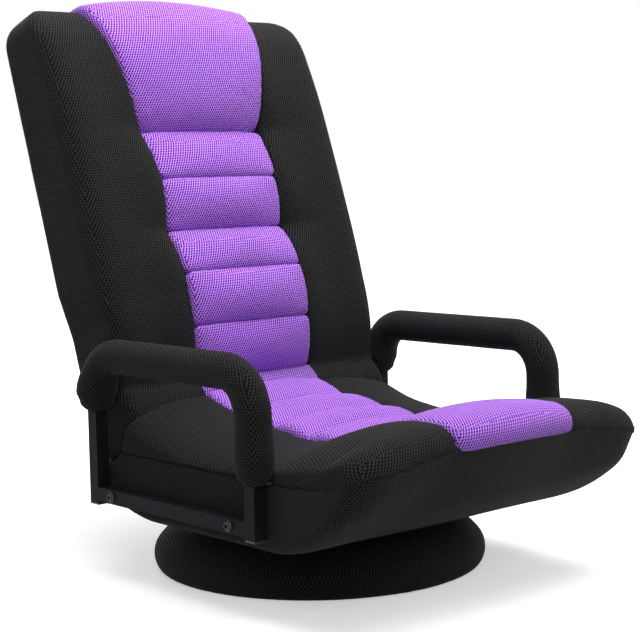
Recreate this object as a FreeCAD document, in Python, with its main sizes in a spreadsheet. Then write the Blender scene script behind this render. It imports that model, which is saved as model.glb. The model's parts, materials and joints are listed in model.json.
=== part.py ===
import FreeCAD, Part
import math
import os
import re
from types import SimpleNamespace

import Sketcher
from FreeCAD import Placement, Rotation, Vector

# Legless swivel chair. Origin on the floor on the swivel axis, +Z up, the sitter faces -Y.
# Driving dimensions: name, value, meaning. Lengths in millimetres, angles in degrees.
SIZES = (
    ("clearance", 0.3, "gap between soft pieces and their neighbours"),
    ("running", 0.08, "radial gap of turning and sliding fits"),
    ("base_radius", 219, "widest radius of the padded base"),
    ("foot_radius", 211, "radius of the base at the floor"),
    ("base_height", 62, "top of the padded base"),
    ("base_bulge", 17, "height of the widest line of the base"),
    ("base_shoulder", 41, "height where the side of the base turns into its top"),
    ("shoulder_radius", 209.5, "radius of the base at that height"),
    ("base_crown", 170, "radius where the top of the base turns flat"),
    ("crown_bulge", 4.5, "rounding of that turn, off its chord"),
    ("ring_gap", 3, "base padding from the edge of the pedestal's foot"),
    ("mat_thickness", 3, "anti-slip sheet"),
    ("mat_inset", 6, "sheet edge inside the foot"),
    ("board_thickness", 15, "plywood board of the base"),
    ("board_inset", 20, "board edge inside the foot"),
    ("drum_radius", 62, "outside of the swivel pedestal"),
    ("drum_flange", 26, "width of the pedestal's foot"),
    ("drum_wall", 3, "sheet of the pedestal"),
    ("race_radius", 52, "ball circle of the swivel"),
    ("race_gap", 5, "space between the two race plates"),
    ("ball_diameter", 8, "balls of the swivel"),
    ("ball_count", 16, "balls in the ring"),
    ("cage_width", 12, "ring that spaces the balls"),
    ("cage_thickness", 2, "sheet of the ball cage"),
    ("pivot_diameter", 12, "centre pin of the swivel"),
    ("plate_width", 170, "side of the square upper race plate"),
    ("plate_thickness", 4, "upper race plate"),
    ("plate_corner", 14, "corner radius of the upper race plate"),
    ("plate_bolt_spread", 60, "plate bolts from the middle, sideways"),
    ("screw_diameter", 5, "wood screws of the pedestal"),
    ("screw_count", 6, "wood screws of the pedestal"),
    ("screw_length", 12, "wood screw below its head"),
    ("screw_head", 2.5, "head height of the wood screws"),
    ("rail_height", 108.5, "middle of the arm rails and of the seat frame"),
    ("seat_tube", 25, "square tube of the seat frame"),
    ("tube_wall", 1.5, "wall of every tube"),
    ("frame_front", 230, "front face of the seat frame"),
    ("frame_rear", 118, "rear ends of the seat frame"),
    ("frame_bend", 50, "bend of the seat frame, on the middle line"),
    ("bar_offset", 45, "cross bars in front of and behind the swivel axis"),
    ("strap_width", 50, "elastic straps of seat and back"),
    ("strap_thickness", 1.5, "elastic straps of seat and back"),
    ("arm_spacing", 498, "between the middles of the two arm frames"),
    ("arm_tube", 18, "square tube of the arm frames"),
    ("arm_front", 184, "front face of the front posts"),
    ("arm_rear", 152, "rear face of the rear posts"),
    ("arm_height", 288, "middle of the arm's top bar"),
    ("arm_bend", 50, "bend of the arm tube, on the middle line"),
    ("post_drop", 3, "posts below the rail"),
    ("plug_thickness", 2, "head of the post plugs"),
    ("plug_depth", 12, "stub of the post plugs"),
    ("pad_diameter", 44, "foam sleeve of the arms"),
    ("pad_front_drop", 128, "lower end of the sleeve on the front post, below the top bar"),
    ("pad_rear_drop", 74, "lower end of the sleeve on the rear post, below the top bar"),
    ("pad_round", 9, "rounding of the sleeve's ends"),
    ("bolt_diameter", 8, "bolts of the arms and of the swivel plate"),
    ("bolt_inset", 30, "arm bolts from the posts, along the rail"),
    ("bolt_head", 7, "head radius of the bolts"),
    ("bolt_head_height", 4.4, "head height of the bolts"),
    ("nut_height", 6.5, "nuts of the bolts"),
    ("spacer_radius", 8, "bushes between rail and seat frame"),
    ("seat_width", 472, "seat cover, side to side"),
    ("seat_front", 360, "front seam of the seat, in the middle"),
    ("seat_rear", 187, "rear end of the seat's lower cover"),
    ("seam_height", 162, "seam round the seat"),
    ("seam_rise_start", 215, "where the seam starts to rise to the front"),
    ("front_seam_height", 200, "seam at the front of the seat"),
    ("belly_height", 77, "underside of the seat"),
    ("crest_height", 235, "front roll of the seat, at the column's edges"),
    ("roll_crown", 9, "middle of the front roll above that"),
    ("front_sweep", 7, "front seam at the column's edges behind its middle"),
    ("belly_front", 196, "front end of the flat underside"),
    ("belly_rear", 60, "rear end of the flat underside"),
    ("belly_bulge", 24, "roundness of the seat below its front seam"),
    ("tail_bulge", 8, "roundness of the seat below its rear end"),
    ("tail_drop", 73, "lower edge of the seat's rear end below the recline axis"),
    ("dip_height", 191, "lowest line of the seat surface"),
    ("lip_rise", 34, "rear edge of the seat surface above the recline axis"),
    ("column_width", 199, "purple middle column"),
    ("seat_bulge", 12, "height of a sewn channel of the seat"),
    ("foam_space", 5, "room for bolt heads under the seat foam"),
    ("hinge_setback", 153, "recline axis behind the swivel axis"),
    ("hinge_height", 195, "recline axis above the floor"),
    ("hinge_plane", 205, "inner face of the ratchet plates, from the middle"),
    ("hinge_plate", 4, "sheet of the hinge plates"),
    ("hinge_gap", 0.3, "gap between the two hinge plates"),
    ("hinge_pin", 10, "hinge pin"),
    ("hinge_boss", 24, "round end of the hinge plates"),
    ("hinge_slot", 8, "free room on each side of the hinge plates"),
    ("tooth_depth", 3, "ratchet teeth"),
    ("tooth_pitch", 7.2, "degrees from tooth to tooth"),
    ("tooth_count", 14, "ratchet teeth"),
    ("tooth_start", 228, "first ratchet tooth, from straight behind the axis"),
    ("rivet_reach", 48, "first hinge rivet in front of the frame's rear end"),
    ("rivet_step", 15, "from one hinge rivet to the next, on the seat"),
    ("neck_width", 14, "hinge bracket where it leaves the seat frame"),
    ("ratchet_reach", 78, "ratchet plate along the back frame"),
    ("rivet_diameter", 6, "rivets of the hinge plates"),
    ("knuckle_radius", 50, "rounded lower end of the back"),
    ("cup_gap", 2, "gap between that end and the seat"),
    ("recline", 18.37, "back from the vertical, at rest"),
    ("back_width", 452, "back cover, side to side"),
    ("back_flare", 8, "back wider than that on each side, above the arms"),
    ("flare_length", 60, "length of back over which it gets wider"),
    ("back_length", 572, "back above the recline axis"),
    ("back_corner", 42, "upper corners of the back"),
    ("back_round", 14, "rounding of the back's rear edges"),
    ("back_top_round", 25, "rounding of the back's rear edge at the top"),
    ("crease_angle", 48, "front edge of the rounded lower end, from the back's own line"),
    ("back_wall", 8, "cover and padding of the rear panel"),
    ("back_tube", 20, "square tube of the back frame"),
    ("back_tube_start", 62, "lower ends of the back frame"),
    ("back_tube_top", 22, "top of the back frame below the top of the back"),
    ("back_seam", 5, "side seam behind the recline axis"),
    ("bolster_depth", 63, "back bolsters in front of the recline axis"),
    ("bolster_start", 36, "lower end of the back cushions above the recline axis"),
    ("back_bulge", 11, "height of a sewn channel of the back"),
    ("head_start", 385, "lower seam of the head pillow"),
    ("head_foot", 212, "head pillow at its lower seam, side to side"),
    ("head_width", 286, "head pillow at its top, side to side"),
    ("head_depth", 68, "head pillow in front of the recline axis"),
    ("head_rise", 17, "head pillow above the back"),
)

doc = FreeCAD.newDocument("FloorChair")
sheet = doc.addObject("Spreadsheet::Sheet", "Sizes")
for row, (alias, amount, meaning) in enumerate(SIZES, start=1):
    sheet.set(f"A{row}", meaning)
    sheet.set(f"B{row}", str(amount))
    sheet.setAlias(f"B{row}", alias)
doc.recompute()

NAMES = {alias for alias, amount, meaning in SIZES}
S = SimpleNamespace(**{alias: float(sheet.get(alias)) for alias in NAMES})
NODES = []
SIDES = (("left", 1), ("right", -1))


def formula(text):
    """Point every size named in a formula at its cell."""
    def cell(match):
        word = match.group(0)
        return "Sizes." + word if word in NAMES else word
    return re.sub(r"[a-z_]+", cell, text)


def bind(obj, **formulas):
    """Tie properties to the sheet; a double underscore stands for a dot."""
    for prop, text in formulas.items():
        obj.setExpression(prop.replace("__", "."), formula(text))


def new_body(name):
    body = doc.addObject("PartDesign::Body", name)
    body.Label = name
    NODES.append(body)
    return body


def new_sketch(body, name, role, height="0"):
    """Sketch on one of the body's own origin planes, raised along the plane's normal."""
    sketch = body.newObject("Sketcher::SketchObject", name)
    plane = [item for item in body.Origin.OriginFeatures if item.Role == role][0]
    sketch.AttachmentSupport = [(plane, "")]
    sketch.MapMode = "FlatFace"
    bind(sketch, AttachmentOffset__Base__z=height)
    return sketch


def tie_point(sketch, geometry, end, across, up):
    """Fix one point of a sketch by two formulas."""
    spot = sketch.getPoint(geometry, end)
    for kind, place, text in (("DistanceX", spot.x, across), ("DistanceY", spot.y, up)):
        index = sketch.addConstraint(Sketcher.Constraint(kind, -1, 1, geometry, end, place))
        label = f"{kind}{index}"
        sketch.renameConstraint(index, label)
        sketch.setExpression(f"Constraints.{label}", formula(text))


def add_circle(sketch, across, up, radius):
    geometry = sketch.addGeometry(Part.Circle(Vector(1, 1, 0), Vector(0, 0, 1), 5), False)
    index = sketch.addConstraint(Sketcher.Constraint("Radius", geometry, 5.0))
    label = f"Radius{index}"
    sketch.renameConstraint(index, label)
    sketch.setExpression(f"Constraints.{label}", formula(radius))
    tie_point(sketch, geometry, 3, across, up)


def add_polygon(sketch, corners):
    """Closed outline whose corners are pairs of formulas."""
    count = len(corners)
    spots = []
    for step in range(count):
        turn = 2 * math.pi * step / count
        spots.append(Vector(50 * math.cos(turn), 50 * math.sin(turn), 0))
    lines = []
    for step in range(count):
        lines.append(sketch.addGeometry(Part.LineSegment(spots[step], spots[(step + 1) % count]), False))
    for step in range(count):
        sketch.addConstraint(Sketcher.Constraint("Coincident", lines[step - 1], 2, lines[step], 1))
    for line, (across, up) in zip(lines, corners):
        tie_point(sketch, line, 1, across, up)


def add_square_ring(sketch, across, up, outer, wall):
    """Section of a square tube."""
    for half in (f"({outer}) / 2", f"(({outer}) / 2 - {wall})"):
        add_polygon(sketch, [(f"{across} {sx} {half}", f"{up} {sy} {half}")
                             for sx, sy in (("-", "-"), ("+", "-"), ("+", "+"), ("-", "+"))])


def pad(body, sketch, length, midplane=False):
    feature = body.newObject("PartDesign::Pad", sketch.Name + "Pad")
    feature.Profile = sketch
    feature.Midplane = midplane
    bind(feature, Length=length)
    return feature


def pocket_through(body, sketch):
    """Cut a sketch through the body both ways."""
    feature = body.newObject("PartDesign::Pocket", sketch.Name + "Cut")
    feature.Profile = sketch
    feature.Type = "ThroughAll"
    feature.Midplane = True
    return feature


def polar(body, feature, sketch, count, angle):
    """Repeat a feature round the normal of its sketch."""
    pattern = body.newObject("PartDesign::PolarPattern", feature.Name + "Ring")
    pattern.Originals = [feature]
    pattern.Axis = (sketch, ["N_Axis"])
    bind(pattern, Angle=angle, Occurrences=count)
    body.Tip = pattern
    return pattern


def revolve_in(body, kind, sketch):
    feature = body.newObject(kind, sketch.Name + "Turn")
    feature.Profile = sketch
    feature.ReferenceAxis = (sketch, ["V_Axis"])
    feature.Angle = 360
    return feature


def add_u_path(sketch, legs, feet, bridge, bend, guess):
    """Middle line of a U-shaped tube: two legs, a bridge and equal bends, all by formulas.

    guess has the same places as numbers, so that the bends start on the right side.
    """
    left, right, low, high, radius = guess
    way = 1 if high > low else -1
    back = "-" if high > low else "+"
    knee = f"({bridge}) {back} {bend}"
    knee_spot = high - way * radius
    runs = (
        (Vector(left, low, 0), Vector(left, knee_spot, 0)),
        (Vector(left + radius, high, 0), Vector(right - radius, high, 0)),
        (Vector(right, knee_spot, 0), Vector(right, low, 0)),
    )
    ends = (
        ((legs[0], feet[0]), (legs[0], knee)),
        ((f"{legs[0]} + {bend}", bridge), (f"{legs[1]} - {bend}", bridge)),
        ((legs[1], knee), (legs[1], feet[1])),
    )
    lines = []
    for (here, there), (first, second) in zip(runs, ends):
        line = sketch.addGeometry(Part.LineSegment(here, there), False)
        tie_point(sketch, line, 1, *first)
        tie_point(sketch, line, 2, *second)
        lines.append(line)
    diagonal = radius * math.sqrt(0.5)
    for side, before, after in ((-1, 0, 1), (1, 1, 2)):
        centre = Vector(left + radius if side < 0 else right - radius, knee_spot, 0)
        middle = centre + Vector(side * diagonal, way * diagonal, 0)
        arc = Part.Arc(runs[before][1], middle, runs[after][0])
        curve = sketch.addGeometry(arc, False)
        start, stop = (2, 1) if way > 0 else (1, 2)
        sketch.addConstraint(Sketcher.Constraint("Coincident", curve, start, lines[before], 2))
        sketch.addConstraint(Sketcher.Constraint("Coincident", curve, stop, lines[after], 1))
        index = sketch.addConstraint(Sketcher.Constraint("Radius", curve, radius))
        sketch.renameConstraint(index, f"Bend{index}")
        sketch.setExpression(f"Constraints.Bend{index}", formula(bend))


def closed_wire(start, *steps):
    """Outline of lines (one point) and arcs (a middle and an end point), closed by a line."""
    edges = []
    here = start
    for step in steps:
        if len(step) == 1:
            edges.append(Part.LineSegment(here, step[0]).toShape())
        else:
            edges.append(Part.Arc(here, step[0], step[1]).toShape())
        here = step[-1]
    edges.append(Part.LineSegment(here, start).toShape())
    return Part.Wire(edges)


def add_shape(name, shape, placement=None):
    """A piece whose form is neither a pad nor a turned part."""
    piece = doc.addObject("Part::Feature", name)
    piece.Label = name
    piece.Shape = shape
    if placement is not None:
        piece.Placement = placement
    NODES.append(piece)
    return piece


def turned(*points):
    """Solid of revolution about Z from its half section, given as (radius, height) pairs."""
    spots = [Vector(r, 0, z) for r, z in points]
    face = Part.Face(Part.makePolygon(spots + spots[:1]))
    return face.revolve(Vector(), Vector(0, 0, 1), 360)


def drum_along(radius, low, high, y=0.0, z=0.0):
    """Cylinder along X between two places."""
    return Part.makeCylinder(radius, high - low, Vector(low, y, z), Vector(1, 0, 0))


def mirrored(shape):
    """The same form on the other side of the middle plane."""
    return shape.mirror(Vector(), Vector(1, 0, 0))


def on_side(shape, side):
    return shape if side > 0 else mirrored(shape)


def box_between(low, high):
    return Part.makeBox(high[0] - low[0], high[1] - low[1], high[2] - low[2], Vector(*low))


# Levels and places that several pieces share.
BOARD_TOP = S.mat_thickness + S.board_thickness
TUBE_BOTTOM = S.rail_height - S.seat_tube / 2
TUBE_TOP = S.rail_height + S.seat_tube / 2
PLATE_BOTTOM = TUBE_BOTTOM - S.plate_thickness
DRUM_TOP = PLATE_BOTTOM - S.race_gap
BALL_LEVEL = DRUM_TOP + S.race_gap / 2
ARM_X = S.arm_spacing / 2
RAIL_INNER = ARM_X - S.arm_tube / 2
RAIL_OUTER = ARM_X + S.arm_tube / 2
BRACKET_OUTER = S.hinge_plane - S.hinge_gap
BRACKET_INNER = BRACKET_OUTER - S.hinge_plate
SEAT_TUBE_OUTER = BRACKET_OUTER + S.seat_tube
RATCHET_OUTER = S.hinge_plane + S.hinge_plate
SEAT_HALF = S.seat_width / 2
BACK_HALF = S.back_width / 2
COLUMN_HALF = S.column_width / 2
BOLT_PLACES = (-S.arm_front + S.arm_tube + S.bolt_inset, S.arm_rear - S.arm_tube - S.bolt_inset)
BOLT_HOLE = S.bolt_diameter / 2 + S.running
RECLINED = Placement(Vector(0, S.hinge_setback, S.hinge_height), Rotation(Vector(1, 0, 0), -S.recline))
BACK_TUBE_Y = S.knuckle_radius - S.back_wall - S.clearance - S.back_tube / 2
BACK_TUBE_X = S.hinge_plane - S.back_tube / 2
PAD_FRONT_END = S.arm_height - S.pad_front_drop
PAD_REAR_END = S.arm_height - S.pad_rear_drop
LIP_HEIGHT = S.hinge_height + S.lip_rise
TAIL_HEIGHT = S.hinge_height - S.tail_drop
SHOULDER_HALF = BACK_HALF + S.back_flare
FLARE_START = S.arm_height + S.pad_diameter / 2 - S.hinge_height + S.hinge_slot
PLATE_BOTTOM_F = "(rail_height - seat_tube / 2 - plate_thickness)"
DRUM_TOP_F = "(rail_height - seat_tube / 2 - plate_thickness - race_gap)"
BALL_LEVEL_F = "(rail_height - seat_tube / 2 - plate_thickness - race_gap / 2)"
BACK_TUBE_Y_F = "(knuckle_radius - back_wall - clearance - back_tube / 2)"
BACK_TUBE_X_F = "(hinge_plane - back_tube / 2)"
# Corners of the hinge plates, and rivets of the ratchet plates, as shares of boss and reach.
BOSS_SIDE = 0.75
BOSS_LOW = 0.65
ARM_REAR = (0.85, -0.3)
ARM_FRONT = (-0.7, 0.6)
TOOTH_BACK = 0.85
TOOTH_EASE = 0.1
RIVET_SHARES = (0.3, 0.8)
# Heads of screws, rivets and pins, and nuts, as shares of their shanks.
SCREW_HEAD = 2.0
SCREW_HEAD_TOP = 1.4
PIVOT_HEAD = 1.7
PIVOT_NUT = 1.75
PIVOT_END = 0.33
PIN_HEAD = 1.5
RIVET_HEAD = 1.6
BOLT_NUT = 0.8
# Button heads of the arm bolts, as shares of their head: rim, top, socket and its floor.
HEAD_RIM = 0.25
HEAD_TOP = 0.6
SOCKET_FLAT = 0.36
SOCKET_FLOOR = 0.45
# Fullness of a sewn channel at its ends, and how far across the column it is full.
CHANNEL_END = 0.4
CHANNEL_FULL = 0.55
RIVET_PLACES = (S.frame_rear - S.rivet_reach, S.frame_rear - S.rivet_reach + S.rivet_step)
RIVET_PLACES_F = ("frame_rear - rivet_reach", "frame_rear - rivet_reach + rivet_step")
RATCHET_RIVETS = [S.back_tube_start + share * S.ratchet_reach for share in RIVET_SHARES]
RATCHET_RIVETS_F = [f"back_tube_start + {share} * ratchet_reach" for share in RIVET_SHARES]


def recline_body(body):
    """Stand a piece of the back, drawn about the recline axis, at its rest angle."""
    body.Placement = RECLINED
    bind(body, Placement__Base__y="hinge_setback", Placement__Base__z="hinge_height")


def make_base():
    mat = doc.addObject("Part::Cylinder", "base_mat")
    mat.Label = "base_mat"
    bind(mat, Radius="foot_radius - mat_inset", Height="mat_thickness")
    NODES.append(mat)

    board = new_body("base_board")
    disc = new_sketch(board, "BoardDisc", "XY_Plane", "mat_thickness")
    add_circle(disc, "0", "0", "foot_radius - board_inset")
    pad(board, disc, "board_thickness")
    hole = new_sketch(board, "BoardHole", "XY_Plane")
    add_circle(hole, "drum_radius + drum_flange / 2", "0", "screw_diameter / 2 + running")
    polar(board, pocket_through(board, hole), hole, "screw_count", "360")

    # Half section of the foam ring: wrapped round the board, rounded side, flat top.
    gap = S.clearance
    inside = S.drum_radius + gap
    flange_room = S.drum_radius + S.drum_flange + S.ring_gap
    head_room = BOARD_TOP + S.drum_wall + S.screw_head + gap
    board_side = S.foot_radius - S.board_inset + gap
    mat_side = S.foot_radius - S.mat_inset + gap
    shoulder = Vector(S.shoulder_radius, 0, S.base_shoulder)
    crown = Vector(S.base_crown, 0, S.base_height)
    turn = crown - shoulder
    outward = Vector(turn.z, 0, -turn.x).normalize() * S.crown_bulge
    rim = closed_wire(
        Vector(mat_side, 0, gap),
        (Vector(S.foot_radius, 0, gap),),
        (Vector(S.base_radius, 0, S.base_bulge), shoulder),
        ((shoulder + crown) / 2 + outward, crown),
        (Vector(inside, 0, S.base_height),),
        (Vector(inside, 0, head_room),),
        (Vector(flange_room, 0, head_room),),
        (Vector(flange_room, 0, BOARD_TOP + gap),),
        (Vector(board_side, 0, BOARD_TOP + gap),),
        (Vector(board_side, 0, S.mat_thickness + gap),),
        (Vector(mat_side, 0, S.mat_thickness + gap),),
    )
    add_shape("base_pad", Part.Face(rim).revolve(Vector(), Vector(0, 0, 1), 360))


def make_swivel():
    drum = new_body("swivel_drum")
    hat = new_sketch(drum, "DrumSection", "XZ_Plane")
    floor = "(mat_thickness + board_thickness)"
    add_polygon(hat, [
        ("drum_radius - drum_wall", floor),
        ("drum_radius + drum_flange", floor),
        ("drum_radius + drum_flange", floor + " + drum_wall"),
        ("drum_radius", floor + " + drum_wall"),
        ("drum_radius", DRUM_TOP_F),
        ("pivot_diameter / 2 + running", DRUM_TOP_F),
        ("pivot_diameter / 2 + running", DRUM_TOP_F + " - drum_wall"),
        ("drum_radius - drum_wall", DRUM_TOP_F + " - drum_wall"),
    ])
    revolve_in(drum, "PartDesign::Revolution", hat)
    race = new_sketch(drum, "DrumRace", "XZ_Plane")
    add_circle(race, "race_radius", BALL_LEVEL_F, "ball_diameter / 2 + running")
    revolve_in(drum, "PartDesign::Groove", race)
    hole = new_sketch(drum, "DrumHole", "XY_Plane")
    add_circle(hole, "drum_radius + drum_flange / 2", "0", "screw_diameter / 2 + running")
    polar(drum, pocket_through(drum, hole), hole, "screw_count", "360")

    flange_top = BOARD_TOP + S.drum_wall
    shank = S.screw_diameter / 2
    screw = turned((0, flange_top - S.screw_length), (shank, flange_top - S.screw_length + shank),
                   (shank, flange_top), (SCREW_HEAD * shank, flange_top),
                   (SCREW_HEAD_TOP * shank, flange_top + S.screw_head),
                   (0, flange_top + S.screw_head))
    screw.translate(Vector(S.drum_radius + S.drum_flange / 2, 0, 0))
    ring = []
    for step in range(int(S.screw_count)):
        ring.append(screw.rotated(Vector(), Vector(0, 0, 1), 360 * step / S.screw_count))
    add_shape("swivel_drum_screws", Part.makeCompound(ring))

    balls = []
    for step in range(int(S.ball_count)):
        turn = 2 * math.pi * step / S.ball_count
        spot = Vector(S.race_radius * math.cos(turn), S.race_radius * math.sin(turn), BALL_LEVEL)
        balls.append(Part.makeSphere(S.ball_diameter / 2, spot))
    add_shape("swivel_balls", Part.makeCompound(balls))

    cage = new_body("swivel_ball_cage")
    ring = new_sketch(cage, "CageRing", "XY_Plane", BALL_LEVEL_F + " - cage_thickness / 2")
    add_circle(ring, "0", "0", "race_radius + cage_width / 2")
    add_circle(ring, "0", "0", "race_radius - cage_width / 2")
    pad(cage, ring, "cage_thickness")
    seat = new_sketch(cage, "CageHole", "XY_Plane")
    add_circle(seat, "race_radius", "0", "ball_diameter / 2 + 2 * running")
    polar(cage, pocket_through(cage, seat), seat, "ball_count", "360")

    plate = new_body("swivel_plate")
    square = new_sketch(plate, "PlateSquare", "XY_Plane", PLATE_BOTTOM_F)
    add_polygon(square, [(f"{sx}plate_width / 2", f"{sy}plate_width / 2")
                         for sx, sy in (("-", "-"), ("", "-"), ("", ""), ("-", ""))])
    add_circle(square, "0", "0", "pivot_diameter / 2 + running")
    for sx in ("-", ""):
        for sy in ("-", ""):
            add_circle(square, f"{sx}plate_bolt_spread", f"{sy}bar_offset", "bolt_diameter / 2 + running")
    solid = pad(plate, square, "plate_thickness")
    doc.recompute()
    upright = []
    for number, edge in enumerate(solid.Shape.Edges, start=1):
        ends = [vertex.Point for vertex in edge.Vertexes]
        if len(ends) == 2 and abs(ends[0].z - ends[1].z) > S.plate_thickness / 2:
            if abs(ends[0].x) > S.plate_width / 2 - S.clearance:
                upright.append(f"Edge{number}")
    corner = plate.newObject("PartDesign::Fillet", "PlateCorner")
    corner.Base = (solid, upright)
    bind(corner, Radius="plate_corner")
    race = new_sketch(plate, "PlateRace", "XZ_Plane")
    add_circle(race, "race_radius", BALL_LEVEL_F, "ball_diameter / 2 + running")
    revolve_in(plate, "PartDesign::Groove", race)

    bolt = turned((0, PLATE_BOTTOM), (S.bolt_diameter / 2, PLATE_BOTTOM), (S.bolt_diameter / 2, TUBE_TOP),
                  (S.bolt_head, TUBE_TOP), (S.bolt_head, TUBE_TOP + S.bolt_head_height / 2),
                  (S.bolt_head / 2, TUBE_TOP + S.bolt_head_height), (0, TUBE_TOP + S.bolt_head_height))
    bolts = []
    for sx in (-1, 1):
        for sy in (-1, 1):
            bolts.append(bolt.translated(Vector(sx * S.plate_bolt_spread, sy * S.bar_offset, 0)))
    add_shape("swivel_plate_bolts", Part.makeCompound(bolts))

    # Pin with its head under the pedestal's top and its nut just clear of the turning plate.
    shank = S.pivot_diameter / 2
    under = DRUM_TOP - S.drum_wall
    nut_low = TUBE_BOTTOM + S.clearance
    nut_high = nut_low + S.nut_height
    head, tip = PIVOT_HEAD * shank, nut_high + PIVOT_END * shank
    pin = turned((0, under - shank), (head, under - shank), (head, under), (shank, under),
                 (shank, tip), (0, tip))
    add_shape("swivel_pivot", pin)
    add_shape("swivel_pivot_nut", hex_nut(shank + S.running, PIVOT_NUT * shank, nut_low, nut_high))


def hex_prism(flat, low, high):
    """Hexagonal bar along Z; flat is half its width across flats."""
    radius = flat / math.cos(math.pi / 6)
    corners = [Vector(radius * math.cos(math.pi * k / 3), radius * math.sin(math.pi * k / 3), low)
               for k in range(6)]
    return Part.Face(Part.makePolygon(corners + corners[:1])).extrude(Vector(0, 0, high - low))


def hex_nut(bore, flat, low, high):
    return hex_prism(flat, low, high).cut(Part.makeCylinder(bore, high - low, Vector(0, 0, low)))


def along_x(shape, x, y, z):
    """Turn a piece drawn along Z to point along +X, with its zero at the given place."""
    turned_shape = shape.rotated(Vector(), Vector(0, 1, 0), 90)
    return turned_shape.translated(Vector(x, y, z))


def make_seat_frame():
    frame = new_body("seat_frame")
    leg = "(hinge_plane - hinge_gap + seat_tube / 2)"
    line = new_sketch(frame, "FrameLine", "XY_Plane", "rail_height")
    half = SEAT_TUBE_OUTER - S.seat_tube / 2
    add_u_path(line, (f"-{leg}", leg), ("frame_rear", "frame_rear"), "-frame_front + seat_tube / 2",
               "frame_bend", (-half, half, S.frame_rear, -S.frame_front + S.seat_tube / 2, S.frame_bend))
    section = new_sketch(frame, "FrameSection", "XZ_Plane", "-frame_rear")
    add_square_ring(section, f"-{leg}", "rail_height", "seat_tube", "tube_wall")
    tube = frame.newObject("PartDesign::AdditivePipe", "FrameTube")
    tube.Profile = section
    tube.Spine = line
    doc.recompute()
    holes = new_sketch(frame, "FrameBoltHoles", "YZ_Plane")
    add_circle(holes, "-arm_front + arm_tube + bolt_inset", "rail_height", "bolt_diameter / 2 + running")
    add_circle(holes, "arm_rear - arm_tube - bolt_inset", "rail_height", "bolt_diameter / 2 + running")
    pocket_through(frame, holes)
    rivets = new_sketch(frame, "FrameRivetHoles", "YZ_Plane")
    for place in RIVET_PLACES_F:
        add_circle(rivets, place, "rail_height", "rivet_diameter / 2 + running")
    pocket_through(frame, rivets)

    inner = S.seat_tube / 2 - S.tube_wall
    bars = []
    for way in (-1, 1):
        y = way * S.bar_offset
        bar = box_between((-BRACKET_OUTER, y - S.seat_tube / 2, TUBE_BOTTOM),
                          (BRACKET_OUTER, y + S.seat_tube / 2, TUBE_TOP))
        bar = bar.cut(box_between((-BRACKET_OUTER, y - inner, S.rail_height - inner),
                                  (BRACKET_OUTER, y + inner, S.rail_height + inner)))
        for side in (-1, 1):
            spot = Vector(side * S.plate_bolt_spread, y, TUBE_BOTTOM)
            bar = bar.cut(Part.makeCylinder(BOLT_HOLE, S.seat_tube, spot))
        bars.append(bar)
    add_shape("seat_cross_bars", Part.makeCompound(bars))

    # Straps lie across the frame, clear of the plate bolts.
    strap_half = SEAT_TUBE_OUTER - S.tube_wall
    beside_bar = S.bar_offset + S.bolt_head + S.clearance + S.strap_width / 2
    front_strap = S.frame_front - S.seat_tube / 2 - S.frame_bend - S.strap_width / 2
    places = (0.0, beside_bar, -beside_bar, -front_strap)
    straps = []
    for y in places:
        straps.append(box_between((-strap_half, y - S.strap_width / 2, TUBE_TOP),
                                  (strap_half, y + S.strap_width / 2, TUBE_TOP + S.strap_thickness)))
    add_shape("seat_webbing", Part.makeCompound(straps))


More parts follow.
